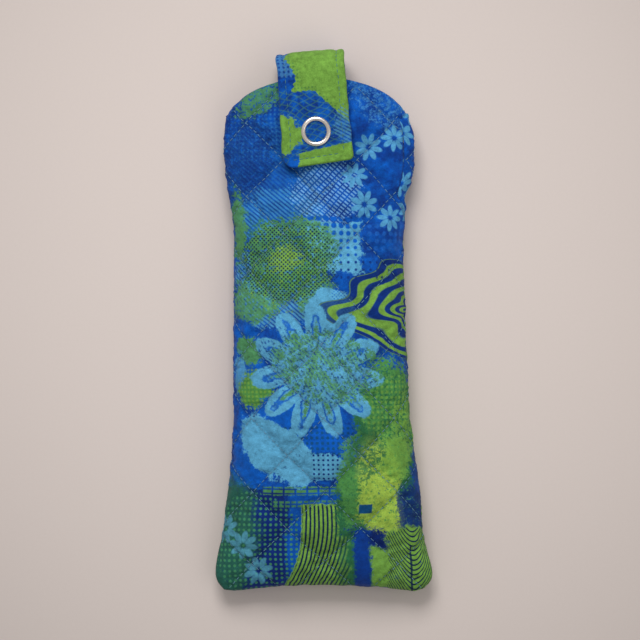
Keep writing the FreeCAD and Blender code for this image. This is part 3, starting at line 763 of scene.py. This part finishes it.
def rgb(*levels):
    """sRGB 0-255 to a linear colour."""
    levels = [level / 255 for level in levels]
    return (*[c / 12.92 if c <= 0.04045 else ((c + 0.055) / 1.055) ** 2.4 for c in levels], 1.0)


# ---- palette and print ----

ROYAL, DARK_ROYAL, NAVY, DEEP = rgb(2, 84, 178), rgb(3, 54, 134), rgb(4, 38, 108), rgb(2, 28, 66)
SKY, PALE_BLUE, DAISY = rgb(84, 156, 194), rgb(112, 168, 216), rgb(76, 146, 190)
LIME, YELLOW_LIME, GREEN, LEAF = rgb(110, 157, 64), rgb(146, 178, 70), rgb(40, 100, 64), rgb(76, 137, 68)
TEAL, PALE = rgb(8, 72, 120), rgb(60, 128, 190)


def field_group(name, labels, build):
    """A node group that makes one number from several; it keeps the print's own tree small."""
    tree = bpy.data.node_groups.new(name, "ShaderNodeTree")
    for label in labels:
        tree.interface.new_socket(name=label, in_out="INPUT", socket_type="NodeSocketFloat")
    tree.interface.new_socket(name="field", in_out="OUTPUT", socket_type="NodeSocketFloat")
    paint = Paint.__new__(Paint)
    paint.tree = tree
    entry = tree.nodes.new("NodeGroupInput")
    leave = tree.nodes.new("NodeGroupOutput")
    paint.feed(leave.inputs[0], build(*[Value(paint, entry.outputs[k]) for k in range(len(labels))]))
    return tree


def turned(u, v, turn):
    c, s = turn.cos(), turn.sin()
    return u * c + v * s, v * c - u * s


def oval_field(u, v, grain, x, y, wide, tall, turn, rag):
    du, dv = turned(u - x, v - y, turn)
    du, dv = du / wide, dv / tall
    return ((du * du + dv * dv).sqrt() - 1) * wide.low(tall) + grain * rag


def block_field(u, v, grain, left, right, low, high, rag):
    across = (u - (left + right) * 0.5).abs() - (right - left) * 0.5
    along = (v - (low + high) * 0.5).abs() - (high - low) * 0.5
    return across.high(along) + grain * rag


def dot_field(u, v, pitch, radius):
    a, b = u.near(pitch), v.near(pitch)
    return (a * a + b * b).sqrt() - radius


def line_field(u, v, turn, pitch, wide, bend, long):
    across, along = turned(u, v, turn)
    return (across + (along / long).sin() * bend).near(pitch).abs() - wide * 0.5


def dash_field(u, v, turn, pitch, wide, length, gap):
    row, run = turned(u, v, turn)
    return (row.near(pitch).abs() - wide * 0.5).high(run.near(length + gap).abs() - length * 0.5)


def flower_field(u, v, x, y, radius, petals, turn, fat, middle):
    du, dv = u - x, v - y
    far = (du * du + dv * dv).sqrt()
    sector = (dv.atan2(du) + turn).near(2 * math.pi / petals)
    along = (far * sector.cos() - middle * radius) / ((1 - middle) * radius)
    aside = far * sector.sin() / (fat * radius)
    return ((along * along + aside * aside).sqrt() - 1) * fat * radius


GROUPS = {name: field_group(name, labels.split(), build) for name, build, labels in (
    ("oval", oval_field, "u v grain x y wide tall turn rag"),
    ("block", block_field, "u v grain left right low high rag"),
    ("dots", dot_field, "u v pitch radius"),
    ("lines", line_field, "u v turn pitch wide bend long"),
    ("dashes", dash_field, "u v turn pitch wide length gap"),
    ("flower", flower_field, "u v x y radius petals turn fat middle"))}


class Print(Paint):
    """Layered cotton print: shapes are signed fields in millimetres, below 0 inside."""

    def start(self, u, v, colour):
        self.u, self.v = u, v
        place = self.at(u, v)
        warp = self.node("ShaderNodeSeparateXYZ", Vector=self.noise(place, 0.11, 4.0, 0.6, colour=True))
        self.warp_u = u + (Value(self, warp.outputs[0]) - 0.5) * 9
        self.warp_v = v + (Value(self, warp.outputs[1]) - 0.5) * 9
        self.grain = self.noise(place, 0.62, 6.0, 0.82) - 0.5
        self.patch = self.noise(place, 0.17, 3.0, 0.6)
        self.colour = colour

    def field(self, kind, *items):
        node = self.tree.nodes.new("ShaderNodeGroup")
        node.node_tree = GROUPS[kind]
        for socket, item in zip(node.inputs, items):
            self.feed(socket, item)
        return Value(self, node.outputs[0])

    def lay(self, colour, field, soft=0.3, share=1.0):
        node = self.node("ShaderNodeMapRange", Value=field, From_Min=soft / 2, From_Max=-soft / 2,
                         To_Max=share)
        self.colour = self.mix(Value(self, node.outputs[0]), self.colour, colour)

    def torn(self, colour, field, scale, shift, soft, share=1.0):
        """Lays a shape that the cloth's grain breaks up; a larger shift leaves less of it."""
        self.lay(colour, both(field, self.grain * scale + shift), soft, share)

    def oval(self, x, y, wide, tall, turn=0.0, rag=4.0):
        return self.field("oval", self.warp_u, self.warp_v, self.grain, x, y, wide, tall,
                          math.radians(turn), rag * 1.7)

    def block(self, left, right, low, high, rag=3.0, warped=False):
        u, v = (self.warp_u, self.warp_v) if warped else (self.u, self.v)
        return self.field("block", u, v, self.grain, left, right, low, high, rag * 1.5)

    def dots(self, pitch, radius, staggered=False):
        u, v = (self.u + self.v, self.v - self.u) if staggered else (self.u, self.v)
        return self.field("dots", u, v, pitch, radius)

    def lines(self, turn, pitch, wide, bend=0.0, long=10.0):
        return self.field("lines", self.u, self.v, math.radians(turn), pitch, wide, bend, long)

    def dashes(self, turn, pitch, wide, length, gap):
        return self.field("dashes", self.u, self.v, math.radians(turn), pitch, wide, length, gap)

    def flower(self, x, y, radius, petals=8, turn=0.3, fat=0.19, middle=0.6):
        return self.field("flower", self.u, self.v, x, y, radius, petals, turn, fat, middle)


def both(first, second):
    """Field of the overlap of two shapes."""
    return first.high(second)


def base_print(p):
    """Blotches of dark blue and small dots under everything."""
    p.lay(DARK_ROYAL, p.patch * 8 - 4.2 + p.grain * 3, 2.0)
    p.lay(rgb(44, 110, 172), both(p.dots(1.55, 0.36), p.oval(-22, 80, 18, 16, rag=8)), 0.4, 0.7)


def top_print(p):
    """Top: fine diagonal stripes that get paler downwards, with torn patches over them."""
    hatch = p.lines(50, 1.25, 0.62)
    p.lay(rgb(28, 94, 160), both(hatch, p.oval(-21, 57, 21, 22, rag=9)), 0.5, 0.7)
    p.lay(rgb(58, 132, 188), both(hatch, p.oval(-17, 44, 19, 10, rag=6)), 0.5, 0.85)
    p.torn(NAVY, p.oval(-30, 70, 12, 22, 0, 12), 14, -0.6, 0.8, 0.6)
    p.torn(LEAF, p.oval(-21, 88, 10, 5, 25, 12), 12, -0.6, 0.8, 0.8)
    p.torn(PALE, p.oval(24, 88, 13, 8, -40, 12), 14, 0.2, 0.8, 0.75)
    p.torn(PALE, p.oval(-29, 68, 8, 14, 0, 12), 18, 2.6, 0.5, 0.7)


def middle_top_print(p):
    """Middle top: short white-blue dashes that turn to dots on sky blue."""
    p.lay(PALE_BLUE, both(p.dashes(50, 1.2, 0.55, 1.6, 0.55), p.oval(3, 53, 12, 13, -30, 12)), 0.3, 0.8)
    p.lay(SKY, p.block(-5, 16, 24, 42, 6, True), 0.6)
    shrink = (p.v - 22) * 0.042 + 0.22
    p.lay(ROYAL, both(p.dots(2.7, shrink), p.block(-6, 16, 24, 44, 0)), 0.35)
    p.lay(rgb(24, 92, 180), both(p.dots(2.7, 0.8), p.block(17, 33, 31, 42, 2)), 0.4, 0.7)


def left_middle_print(p):
    """Left middle: green halftone over stripes."""
    p.lay(SKY, both(p.lines(50, 1.25, 0.7), p.oval(-17, 18, 19, 15, -20, 9)), 0.5, 0.8)
    p.torn(GREEN, p.oval(-15, 29, 18, 13, -20, 16), 16, -0.2, 0.8, 0.7)
    p.lay(LEAF, p.oval(-31.5, 40, 4, 13, 0, 7), 1.0, 0.85)
    p.torn(LEAF, p.oval(-22, 16, 15, 9, 25, 14), 14, -0.8, 0.8, 0.85)
    p.torn(LEAF, p.oval(-3, 18, 8, 14, 25, 12), 14, -0.8, 0.8, 0.85)
    p.torn(LEAF, p.oval(-11, 31, 17, 13, 5, 12), 16, -1.0, 0.6, 0.85)
    p.lay(LIME, p.oval(-12.2, 28.3, 6.0, 4.6, 35, 16), 1.8)
    p.torn(LIME, p.oval(-13, 24, 15, 15, 20, 12), 18, 1.3, 0.6, 0.9)
    halftone = both(p.dots(1.5, 0.5, True), p.oval(-12, 27, 18, 15, 0, 14))
    p.lay(DEEP, both(halftone, 2.6 - p.patch * 7 + p.grain * 6), 0.3, 0.9)
    p.lay(SKY, both(p.oval(-8, 26, 20, 17, 0, 10), 2.3 - p.grain * 18), 0.5, 0.85)
    p.lay(SKY, p.oval(4, 8, 9, 9.5, 0, 4), 0.5)
    p.lay(ROYAL, both(p.dots(1.35, 0.35, True), p.oval(11, 15, 7, 8, 0, 5)), 0.3, 0.8)


def bands_print(p):
    """Right middle: flowing lime bands on deep blue."""
    du, dv = (p.u - 41) / 2.15, p.v - 10
    turn = dv.atan2(du)
    swell = (turn * 5 + 0.9).sin() * 1.5 + (p.v * 0.42 + p.u * 0.2).sin() * 1.3
    far = (du * du + dv * dv).sqrt() + swell
    area = far - 17.2
    p.lay(NAVY, area, 0.3, 0.85)
    p.lay(LIME, both(area + 0.2, (far - 1.2).near(3.3).abs() - 0.8), 0.3)
    p.lay(NAVY, both(p.dots(2.7, 0.5), p.block(8, 30, 20, 28, 0)), 0.3, 0.8)


def under_flower_print(p):
    """Left edge, and the fields beside and under the large flower."""
    p.lay(ROYAL, p.oval(-29, -6, 8, 12, 0, 6), 0.6)
    p.lay(LEAF, p.oval(-27.5, -5, 6, 5, 0, 8), 0.6, 0.9)
    p.lay(SKY, p.oval(-32, -14, 3.5, 7, 0, 8), 0.6, 0.7)
    p.lay(LEAF, p.oval(-25, -20, 7, 7, 0, 7), 0.8)
    p.lay(LIME, both(p.dots(1.6, 0.5), p.oval(-25, -20, 8, 8, 0, 4)), 0.4, 0.8)
    p.lay(GREEN, p.oval(26, -30, 15, 20, 0, 9), 1.2)
    p.torn(LEAF, p.oval(28, -28, 13, 20, 10, 14), 14, -0.4, 0.8, 0.85)
    p.lay(LIME, both(p.dots(1.9, 0.52) + p.grain * 1.5, p.oval(26, -27, 12, 13, 0, 8)), 0.4, 0.7)
    p.torn(LIME, p.oval(33, -36, 6, 14, 0, 9), 16, -0.2, 0.7, 0.8)
    p.lay(ROYAL, p.oval(-6, -33, 18, 9, -20, 3), 0.5)
    p.lay(TEAL, both(p.dots(1.9, 0.55), p.block(-14, 13, -46, -33, 2)), 0.3, 0.9)


def large_flower_print(p):
    """The large flower: rings of petals, then a torn and scratched middle."""
    torn = p.grain * 2 + (p.patch - 0.5) * 4
    p.lay(SKY, p.flower(-1.5, -13, 25, 11, 0.15, 0.168, 0.66) + torn * 0.6, 0.35)
    p.lay(ROYAL, p.flower(-1.5, -13, 21, 11, 0.15, 0.085, 0.70) + torn, 0.4, 0.9)
    p.lay(SKY, p.flower(-1.5, -13, 18.5, 11, 0.15, 0.06, 0.70) + torn, 0.4, 0.9)
    p.lay(LEAF, p.flower(-1.5, -13, 17, 11, 0.15, 0.05, 0.74) + p.grain * 6, 0.4, 0.9)
    p.lay(SKY, p.oval(0, -13, 17, 11, -15, 13), 0.9, 0.85)
    p.lay(LEAF, both(p.oval(3, -12, 21, 13, -15, 8), p.grain * 14 - 0.2 + (p.patch - 0.5) * 8), 0.5, 0.85)
    scratches = p.lines(38, 1.3, 0.5, 0.9, 4) + p.grain * 6
    p.lay(DARK_ROYAL, both(p.oval(-2, -11, 21, 13, -15, 10), scratches + 0.25), 0.3, 0.75)
    p.torn(NAVY, p.oval(1, -8, 24, 14, 10, 10), 20, 3.0, 0.3, 0.75)


def sky_field_print(p):
    """The large sky field with its dots."""
    p.lay(ROYAL, p.oval(-29, -44, 8, 15, 0, 4), 0.5)
    p.lay(SKY, p.oval(-17, -43, 18, 9.5, -38, 4), 0.4)
    p.lay(SKY, p.oval(-1, -49, 9, 5.5, -10, 3), 0.4)
    p.lay(NAVY, both(p.dots(1.7, 0.4), p.block(-4, 6, -54, -43, 0)), 0.25)


def lower_left_print(p):
    """Lower left: navy with green dots, dashed strips over it."""
    p.lay(NAVY, p.block(-45, 12, -110, -56.5, 4, True), 0.5)
    p.lay(ROYAL, p.block(-13, 6, -110, -57, 6, True), 1.5, 0.8)
    p.lay(LEAF, both(p.block(-23, 10, -59, -56, 2), p.dashes(90, 1.6, 1.0, 3.4, 0.8)), 0.4, 0.9)
    p.lay(LEAF, both(p.block(-19, 11, -63.5, -61, 2), p.dashes(90, 1.5, 0.8, 1.6, 0.6)), 0.4, 0.8)
    p.lay(GREEN, p.oval(-42, -80, 16, 28, -15, 8), 4.0, 0.75)
    p.lay(rgb(64, 134, 92), both(p.dots(1.95, 0.52), p.oval(-25, -78, 17, 20, 0, 3)), 0.3, 0.85)


def fan_print(p):
    """Lower middle: lime with steep dark lines."""
    sweep = p.u + (p.v + 62) * (p.v + 62) * 0.006 + ((p.v + 66) / 9).sin() * 1.2
    fan = both(p.block(-20, 30, -110, -62.5, 3), p.grain * 2 - 8 - sweep)
    p.lay(LIME, fan, 0.4)
    steep = sweep.near(1.55).abs() - 0.34 + p.grain * 0.5
    p.lay(DEEP, both(steep, both(fan + 0.4, p.u - 10)), 0.25)
    p.lay(GREEN, p.block(5, 12, -110, -62, 9, True), 2.0, 0.5)


def lower_right_print(p):
    """Lower right: yellow-lime field, dark patches, bars and the striped corner."""
    p.lay(GREEN, p.oval(24, -62, 20, 22, 0, 8), 1.0)
    p.lay(SKY, both(p.oval(14, -50, 10, 18, 0, 10), 3.0 - p.grain * 18), 0.6, 0.6)
    p.torn(LEAF, p.oval(14, -54, 9, 18, 0, 10), 14, -0.9, 1.0, 0.85)
    p.lay(YELLOW_LIME, p.oval(21, -58, 9, 21, 6, 9), 1.0)
    p.lay(LIME, p.oval(27, -45, 7, 9, 0, 10), 1.2, 0.8)
    p.torn(LEAF, p.oval(23, -50, 12, 20, 0, 10), 16, 1.0, 0.7, 0.85)
    p.torn(GREEN, p.oval(16, -44, 6, 9, -10, 9), 14, -0.4, 0.8, 0.8)
    p.lay(NAVY, p.oval(34, -66, 7, 11, 0, 10), 1.0, 0.9)
    p.torn(LEAF, p.oval(32, -66, 9, 13, 0, 10), 18, 1.4, 0.6, 0.7)
    p.lay(DARK_ROYAL, p.oval(38, -52, 3.5, 8, 0, 7), 1.0, 0.9)
    p.lay(TEAL, p.block(13, 17.8, -65.7, -62.3, 0.8), 0.3)
    p.lay(GREEN, p.block(9, 45, -110, -77, 6, True), 1.0)
    p.lay(NAVY, p.oval(22, -76, 11, 4, -15, 9), 0.8)
    p.lay(LIME, p.block(17, 45, -110, -79, 6, True), 1.0, 0.9)
    p.lay(DARK_ROYAL, p.block(11.5, 17.5, -110, -72, 5), 0.8)
    corner = p.block(24, 60, -110, -71, 5, True)
    p.lay(LIME, corner, 1.2)
    cup = (p.u - 33.5) * (p.u - 33.5) * 0.13
    ripple = (p.v - cup + (p.u / 2.4).sin() * 1.0).near(1.8).abs() - 0.3
    p.lay(DEEP, both(ripple + p.grain * 0.5, corner + 0.5), 0.25)
    p.lay(DEEP, p.block(32.4, 33.2, -110, -78, 0.5), 0.2, 0.9)


def worn_specks_print(p):
    """Worn specks of ink over the whole cloth."""
    p.lay(NAVY, p.grain * 20 + (p.patch - 0.5) * 10 + 3.1, 0.8, 0.6)
    p.lay(SKY, 4.0 - p.grain * 20 - (p.patch - 0.5) * 8, 0.8, 0.5)


def daisies_print(p):
    """Small daisies, at the upper right and the lower left."""
    for x, y, size, turn in ((18.4, 70.2, 5.2, 0.3), (28, 73.4, 5.0, 0.1), (36.5, 66.5, 5.0, 0.5),
                             (13.0, 59.4, 4.8, 0.2), (16.9, 48.6, 5.2, 0.4), (26.8, 43.6, 5.0, 0.1),
                             (35.5, 47.5, 5.0, 0.3)):
        p.lay(DAISY, p.flower(x, y, size, 8, turn), 0.3, 0.95)
    for x, y, turn in ((-29.5, -78, 0.2), (-24.3, -88.5, 0.5), (-37.5, -72, 0.4)):
        p.lay(rgb(78, 146, 172), p.flower(x, y, 5.6, 8, turn, 0.21), 0.4, 0.85)


def pouch_print(p):
    """Collage print of the pouch, from the ground up."""
    for layer in (base_print, top_print, middle_top_print, left_middle_print, bands_print, under_flower_print,
                  large_flower_print, sky_field_print, lower_left_print, fan_print, lower_right_print,
                  worn_specks_print, daisies_print):
        layer(p)


def tab_print(p):
    """The tab's cut of the same cloth; u runs across it, v from its free end to its root."""
    p.lay(DARK_ROYAL, p.patch * 8 - 4.0 + p.grain * 3, 1.5)
    net = p.lines(62, 2.1, 0.3, 0.5, 2).low(p.lines(-58, 2.3, 0.3, 0.5, 2))
    p.lay(LEAF, both(net + p.grain * 0.7, p.block(-14, 14, 64, 92, 3)), 0.3, 0.45)
    p.torn(rgb(58, 118, 176), p.oval(-10, 104, 8, 6, 0, 4), 4, -0.6, 0.5, 0.9)
    p.lay(DARK_ROYAL, both(p.dots(1.7, 0.45), p.oval(-10, 103, 9, 8, 0, 2)), 0.3, 0.9)
    zigzag = p.v.near(2.0).abs() * 0.8
    left = -8.2 - (p.v - 96).near(17).abs() * 0.45
    lower = 90.8 - (p.u - 0.4).high(0) * 1.06 + p.u.near(2.2).abs() * 0.5
    field = both(left - p.u + zigzag + 2, lower - p.v) + p.grain * 1.5
    field = both(field, p.v - 113 + p.u * 0.3)
    p.lay(LIME, field, 0.3)
    p.lay(GREEN, both(both(field, p.dots(1.3, 0.35)), -2.0 - field), 0.3, 0.5)
    p.lay(LIME, p.oval(-12.5, 76, 6.5, 6.5, 0, 4), 0.4)
    p.lay(rgb(76, 142, 186), both(p.oval(11.5, 76, 4, 7, 0, 9), p.lines(55, 1.2, 0.6)), 0.5, 0.8)
    p.lay(LIME, both(p.v - 69.2 - p.u * 0.08, -8.0 - p.u) + p.grain * 2, 0.3)
    p.lay(ROYAL, p.oval(-10, 65, 3, 4, 0, 2), 0.4)
    p.lay(SKY, p.oval(4, 126, 12, 9, 20, 7), 0.6)
    p.lay(LEAF, p.oval(-6, 142, 9, 8, 0, 8), 0.6)
    p.lay(LIME, p.oval(6, 150, 7, 5, 0, 6), 0.6)


def finish_cloth(p, u, v, quilted, shade=1.0):
    """Weave, fade, thread-scale bump and creases along sewn lines, with painted shade darkening the creases;
    shade is a painted shade over the whole piece.
    """
    warp = (u * (2 * math.pi / 0.42)).sin()
    weft = (v * (2 * math.pi / 0.42)).sin()
    weave = warp * weft
    fuzz = p.noise(p.at(u, v), 3.2, 3.0, 0.7)
    fade = p.noise(p.at(u, v), 0.05, 5.0, 0.7)
    worn = p.noise(p.at(u, v), 0.45, 6.0, 0.85)
    # shade multiplies the whole colour; below 1 it is painted shade for a piece that catches more light
    level = weave * 0.05 + (fuzz - 0.5) * 0.8 + (fade - 0.5) * 0.8 + (worn - 0.5) * 1.9 + shade
    height = weave * 0.012 + fuzz * 0.05
    if quilted:
        first = ((u - QUILT_AT[0]) - (v - QUILT_AT[1])).near(QUILT_STEP).abs() / math.sqrt(2)
        second = ((u - QUILT_AT[0]) + (v - QUILT_AT[1])).near(QUILT_STEP).abs() / math.sqrt(2)
        close = first.low(second)
        # Painted shade: the colour darkens within 1.6 mm of each quilting line, where the crease lies in
        # shadow
        groove = (1.6 - close).high(0) / 1.6
        level = level - groove * groove * 0.22
        pucker = p.noise(p.at(u + v, v - u), 0.55, 2.0, 0.5) - 0.5
        height = height + pucker * (5.0 - close).high(0) * 0.16 + (p.noise(p.at(u, v), 0.2, 2.0) - 0.5) * 0.5
    else:
        height = height + (p.noise(p.at(u, v), 0.35, 2.0) - 0.5) * 0.35
    p.fixed(Specular_IOR_Level=0.12, Sheen_Weight=0.05, Sheen_Roughness=0.5)
    colour = p.mix(1.0, p.colour, p.at(level, level, level), "MULTIPLY")
    return p.finish(colour, fuzz * 0.2 + 0.72, height, 0.7)


def printed_cotton(kind, shade=1.0):
    p = Print(f"printed_cotton_{kind}")
    u, v = p.cloth_place()
    if kind == "back":
        u, v = u - 6, v - 9
    if kind == "tab":
        v = 159.4 - v
    p.start(u, v, ROYAL)
    if kind == "tab":
        tab_print(p)
    else:
        pouch_print(p)
    u, v = p.cloth_place()
    return finish_cloth(p, u, v, kind != "tab", shade)


def plain_cotton(name, colour, other):
    p = Print(name)
    u, v = p.cloth_place()
    p.start(u, v, colour)
    p.lay(other, p.patch * 8 - 4 + p.grain * 5, 2.5, 0.6)
    return finish_cloth(p, u, v, False)


def surface_place(p):
    """Place in the part itself in millimetres, for pieces without a cloth map."""
    parts = p.node("ShaderNodeSeparateXYZ", Vector=p.tree.nodes.new("ShaderNodeTexCoord").outputs["Object"])
    return [Value(p, output) * 1000 for output in parts.outputs]


def fibrous(name, colour, other, scale):
    """Batting, thread and interfacing: mottled fibre with a matching bump."""
    p = Paint(name)
    x, y, z = surface_place(p)
    place = p.at(x, y, z)
    fibre = p.noise(place, scale, 4.0, 0.7)
    clump = p.noise(place, scale * 0.18, 2.0)
    p.fixed(Specular_IOR_Level=0.25)
    return p.finish(p.mix((fibre + clump) * 0.5, colour, other), fibre * 0.2 + 0.75, fibre * 0.3, 0.8)


def metal(name, colour, tarnish, rough):
    """Pressed and plated metal: light polish marks, uneven plating and small handling scratches."""
    p = Paint(name)
    x, y, z = surface_place(p)
    place = p.at(x, y, z)
    cloud = p.noise(place, 0.5, 3.0, 0.6)
    scratch = p.noise(p.at(x * 6, y * 0.7, z), 1.6, 3.0, 0.7)
    p.fixed(Metallic=1.0)
    shade = p.mix(cloud * cloud * 0.8, colour, tarnish)
    return p.finish(shade, scratch * 0.12 + cloud * 0.08 + rough, scratch * 0.006, 0.5)


# ---- put the object together ----

def wear(obj, material):
    obj.data.materials.clear()
    obj.data.materials.append(material)


def place(obj, material, slot, bodies, ends, nodes):
    """Dresses a soft piece, bakes its transform and lets it stand for its CAD solids, which it hides."""
    wear(obj, material)
    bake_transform(obj)
    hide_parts(*nodes)


def make_pouch():
    thread = fibrous("sewing_thread", rgb(78, 124, 156), rgb(120, 158, 178), 4.0)
    lining_cloth = plain_cotton("lining_cotton", rgb(40, 96, 158), rgb(52, 116, 178))
    wadding = fibrous("cotton_batting", rgb(222, 218, 206), rgb(240, 238, 232), 1.2)
    for side, z in (("front", 13), ("back", 5)):
        panel, tables = outer_panel(side, 1.05)
        quilting = quilting_stitches(side, tables)
        lining = closed_pad(f"{side}_panel_lining", side, WALL - 0.55, WALL, 3.2)
        batting = closed_pad(f"{side}_panel_batting", side, 1.1, WALL - 0.65, 2.6)
        ends = (0, NOTCH - 3, z), (0, NOTCH + 7, z)
        for obj, material, slot, nodes in (
                (panel, printed_cotton(side), "printed_cotton", ("outer_panel", "lip_outer_cloth")),
                (quilting, thread, "quilting_thread", ("quilting_thread", "lip_quilting_thread")),
                (lining, lining_cloth, "lining_cotton", ("lining", "lip_lining")),
                (batting, wadding, "batting", ("batting", "lip_batting"))):
            place(obj, material, slot, ("pouch", f"{side}_lip"), ends, [f"{side}_{n}" for n in nodes])
        if side == "front":
            seam = seam_stitches(tables)
            wear(seam, thread)
            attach(seam, "pouch")
            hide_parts("side_and_bottom_seam_thread")


def make_tab():
    thread = fibrous("tab_sewing_thread", rgb(52, 104, 118), rgb(92, 136, 132), 4.0)
    stiffener = fibrous("interfacing", rgb(214, 214, 208), rgb(232, 232, 228), 2.0)
    cloths = tab_cloth("tab_rear_cloth", 0.0, MIDWAY), tab_cloth("tab_front_cloth_piece", MIDWAY, MARKS[5])
    strips = tab_core("tab_rear_strip", 2.0, MIDWAY), tab_core("tab_front_strip", MIDWAY, MARKS[5] - 2.0)
    bends = [tab_point(0, t, 0) for t in (MARKS[1] - 1, MARKS[2] + 1, MARKS[3] - 1, MARKS[4] + 1)]
    # The tab's printed cotton gets shade 0.86: painted shade that darkens the raised, upward-facing tab
    for (rear, front), material, slot, kind, end_kind in (
            (cloths, printed_cotton("tab", 0.86), "printed_cotton", "cloth", "front_cloth"),
            (strips, stiffener, "interfacing", "interfacing", "front_interfacing"),
            (tab_stitches(), thread, "seam_thread", "stitching", "edge_stitching")):
        place(rear, material, slot, ("pouch", "tab_fold"), bends[:2], [f"tab_anchor_{kind}"])
        place(front, material, slot, ("tab_fold", "tab_front"), bends[2:],
              [f"tab_{end_kind}", f"tab_fold_{kind}"])


def make_snap():
    silver = metal("ring_plating", rgb(240, 232, 224), rgb(196, 184, 172), 0.16)
    steel = metal("snap_plating", rgb(196, 196, 198), rgb(130, 132, 138), 0.24)
    for node, plating in (("snap_ring_cap", silver), ("stud_prong_ring", silver), ("snap_socket", steel),
                          ("snap_stud", steel), ("socket_spring", steel)):
        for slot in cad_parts[node].material_slots:
            slot.link = "OBJECT"
            slot.material = plating


# ---- stage ----

def area_light(name, place, size, power, colour=(1, 1, 1)):
    data = bpy.data.lights.new(name, "AREA")
    data.shape = "RECTANGLE"
    data.size, data.size_y = size
    data.energy = power
    data.color = colour
    light = bpy.data.objects.new(name, data)
    light.location = place
    light.rotation_euler = (Vector((0, 0, 0)) - Vector(place)).to_track_quat("-Z", "Y").to_euler()
    bpy.context.scene.collection.objects.link(light)


def make_stage():
    far = 3000
    corners = [(-far, -far, 0), (far, -far, 0), (far, far, 0), (-far, far, 0)]
    floor = new_mesh("floor", corners, [[0, 1, 2, 3]])
    p = Paint("floor")
    x, y, _ = surface_place(p)
    # Painted light falloff: fade darkens the floor's colour with distance from the middle, by up to 0.4, a
    # painted pool of light
    fade = (x * x + y * y) * 6.5e-6
    tooth = p.noise(p.at(x, y), 0.9, 3.0) * 0.03
    paper = rgb(214, 203, 198)
    level = [(1 - fade.low(0.4) - tooth) * channel for channel in paper[:3]]
    p.feed(p.surface.inputs["Base Color"], p.at(*level))
    p.fixed(Roughness=0.7, Specular_IOR_Level=0.2)
    wear(floor, p.material)
    world = bpy.data.worlds.new("studio")
    world.use_nodes = True
    world.node_tree.nodes["Background"].inputs[0].default_value = (1.0, 0.98, 0.96, 1)
    world.node_tree.nodes["Background"].inputs[1].default_value = 0.44
    bpy.context.scene.world = world
    area_light("key", (-0.10, 0.60, 0.66), (0.45, 0.45), 6.0, (1.0, 0.985, 0.97))
    area_light("fill", (0.55, -0.3, 0.75), (0.8, 0.8), 1.2)
    bpy.context.scene.view_settings.view_transform = "Standard"


def make_camera():
    data = bpy.data.cameras.new("camera")
    camera = bpy.data.objects.new("camera", data)
    high, seam, view_width = 2.2, 0.009, 0.23904
    data.sensor_width = 36
    data.lens = data.sensor_width * (high - seam) / view_width
    data.clip_end = 20
    camera.location = (0.0004, 0.0058, high)
    bpy.context.scene.collection.objects.link(camera)
    bpy.context.scene.camera = camera


make_pouch()
make_tab()
make_snap()
make_stage()
make_camera()
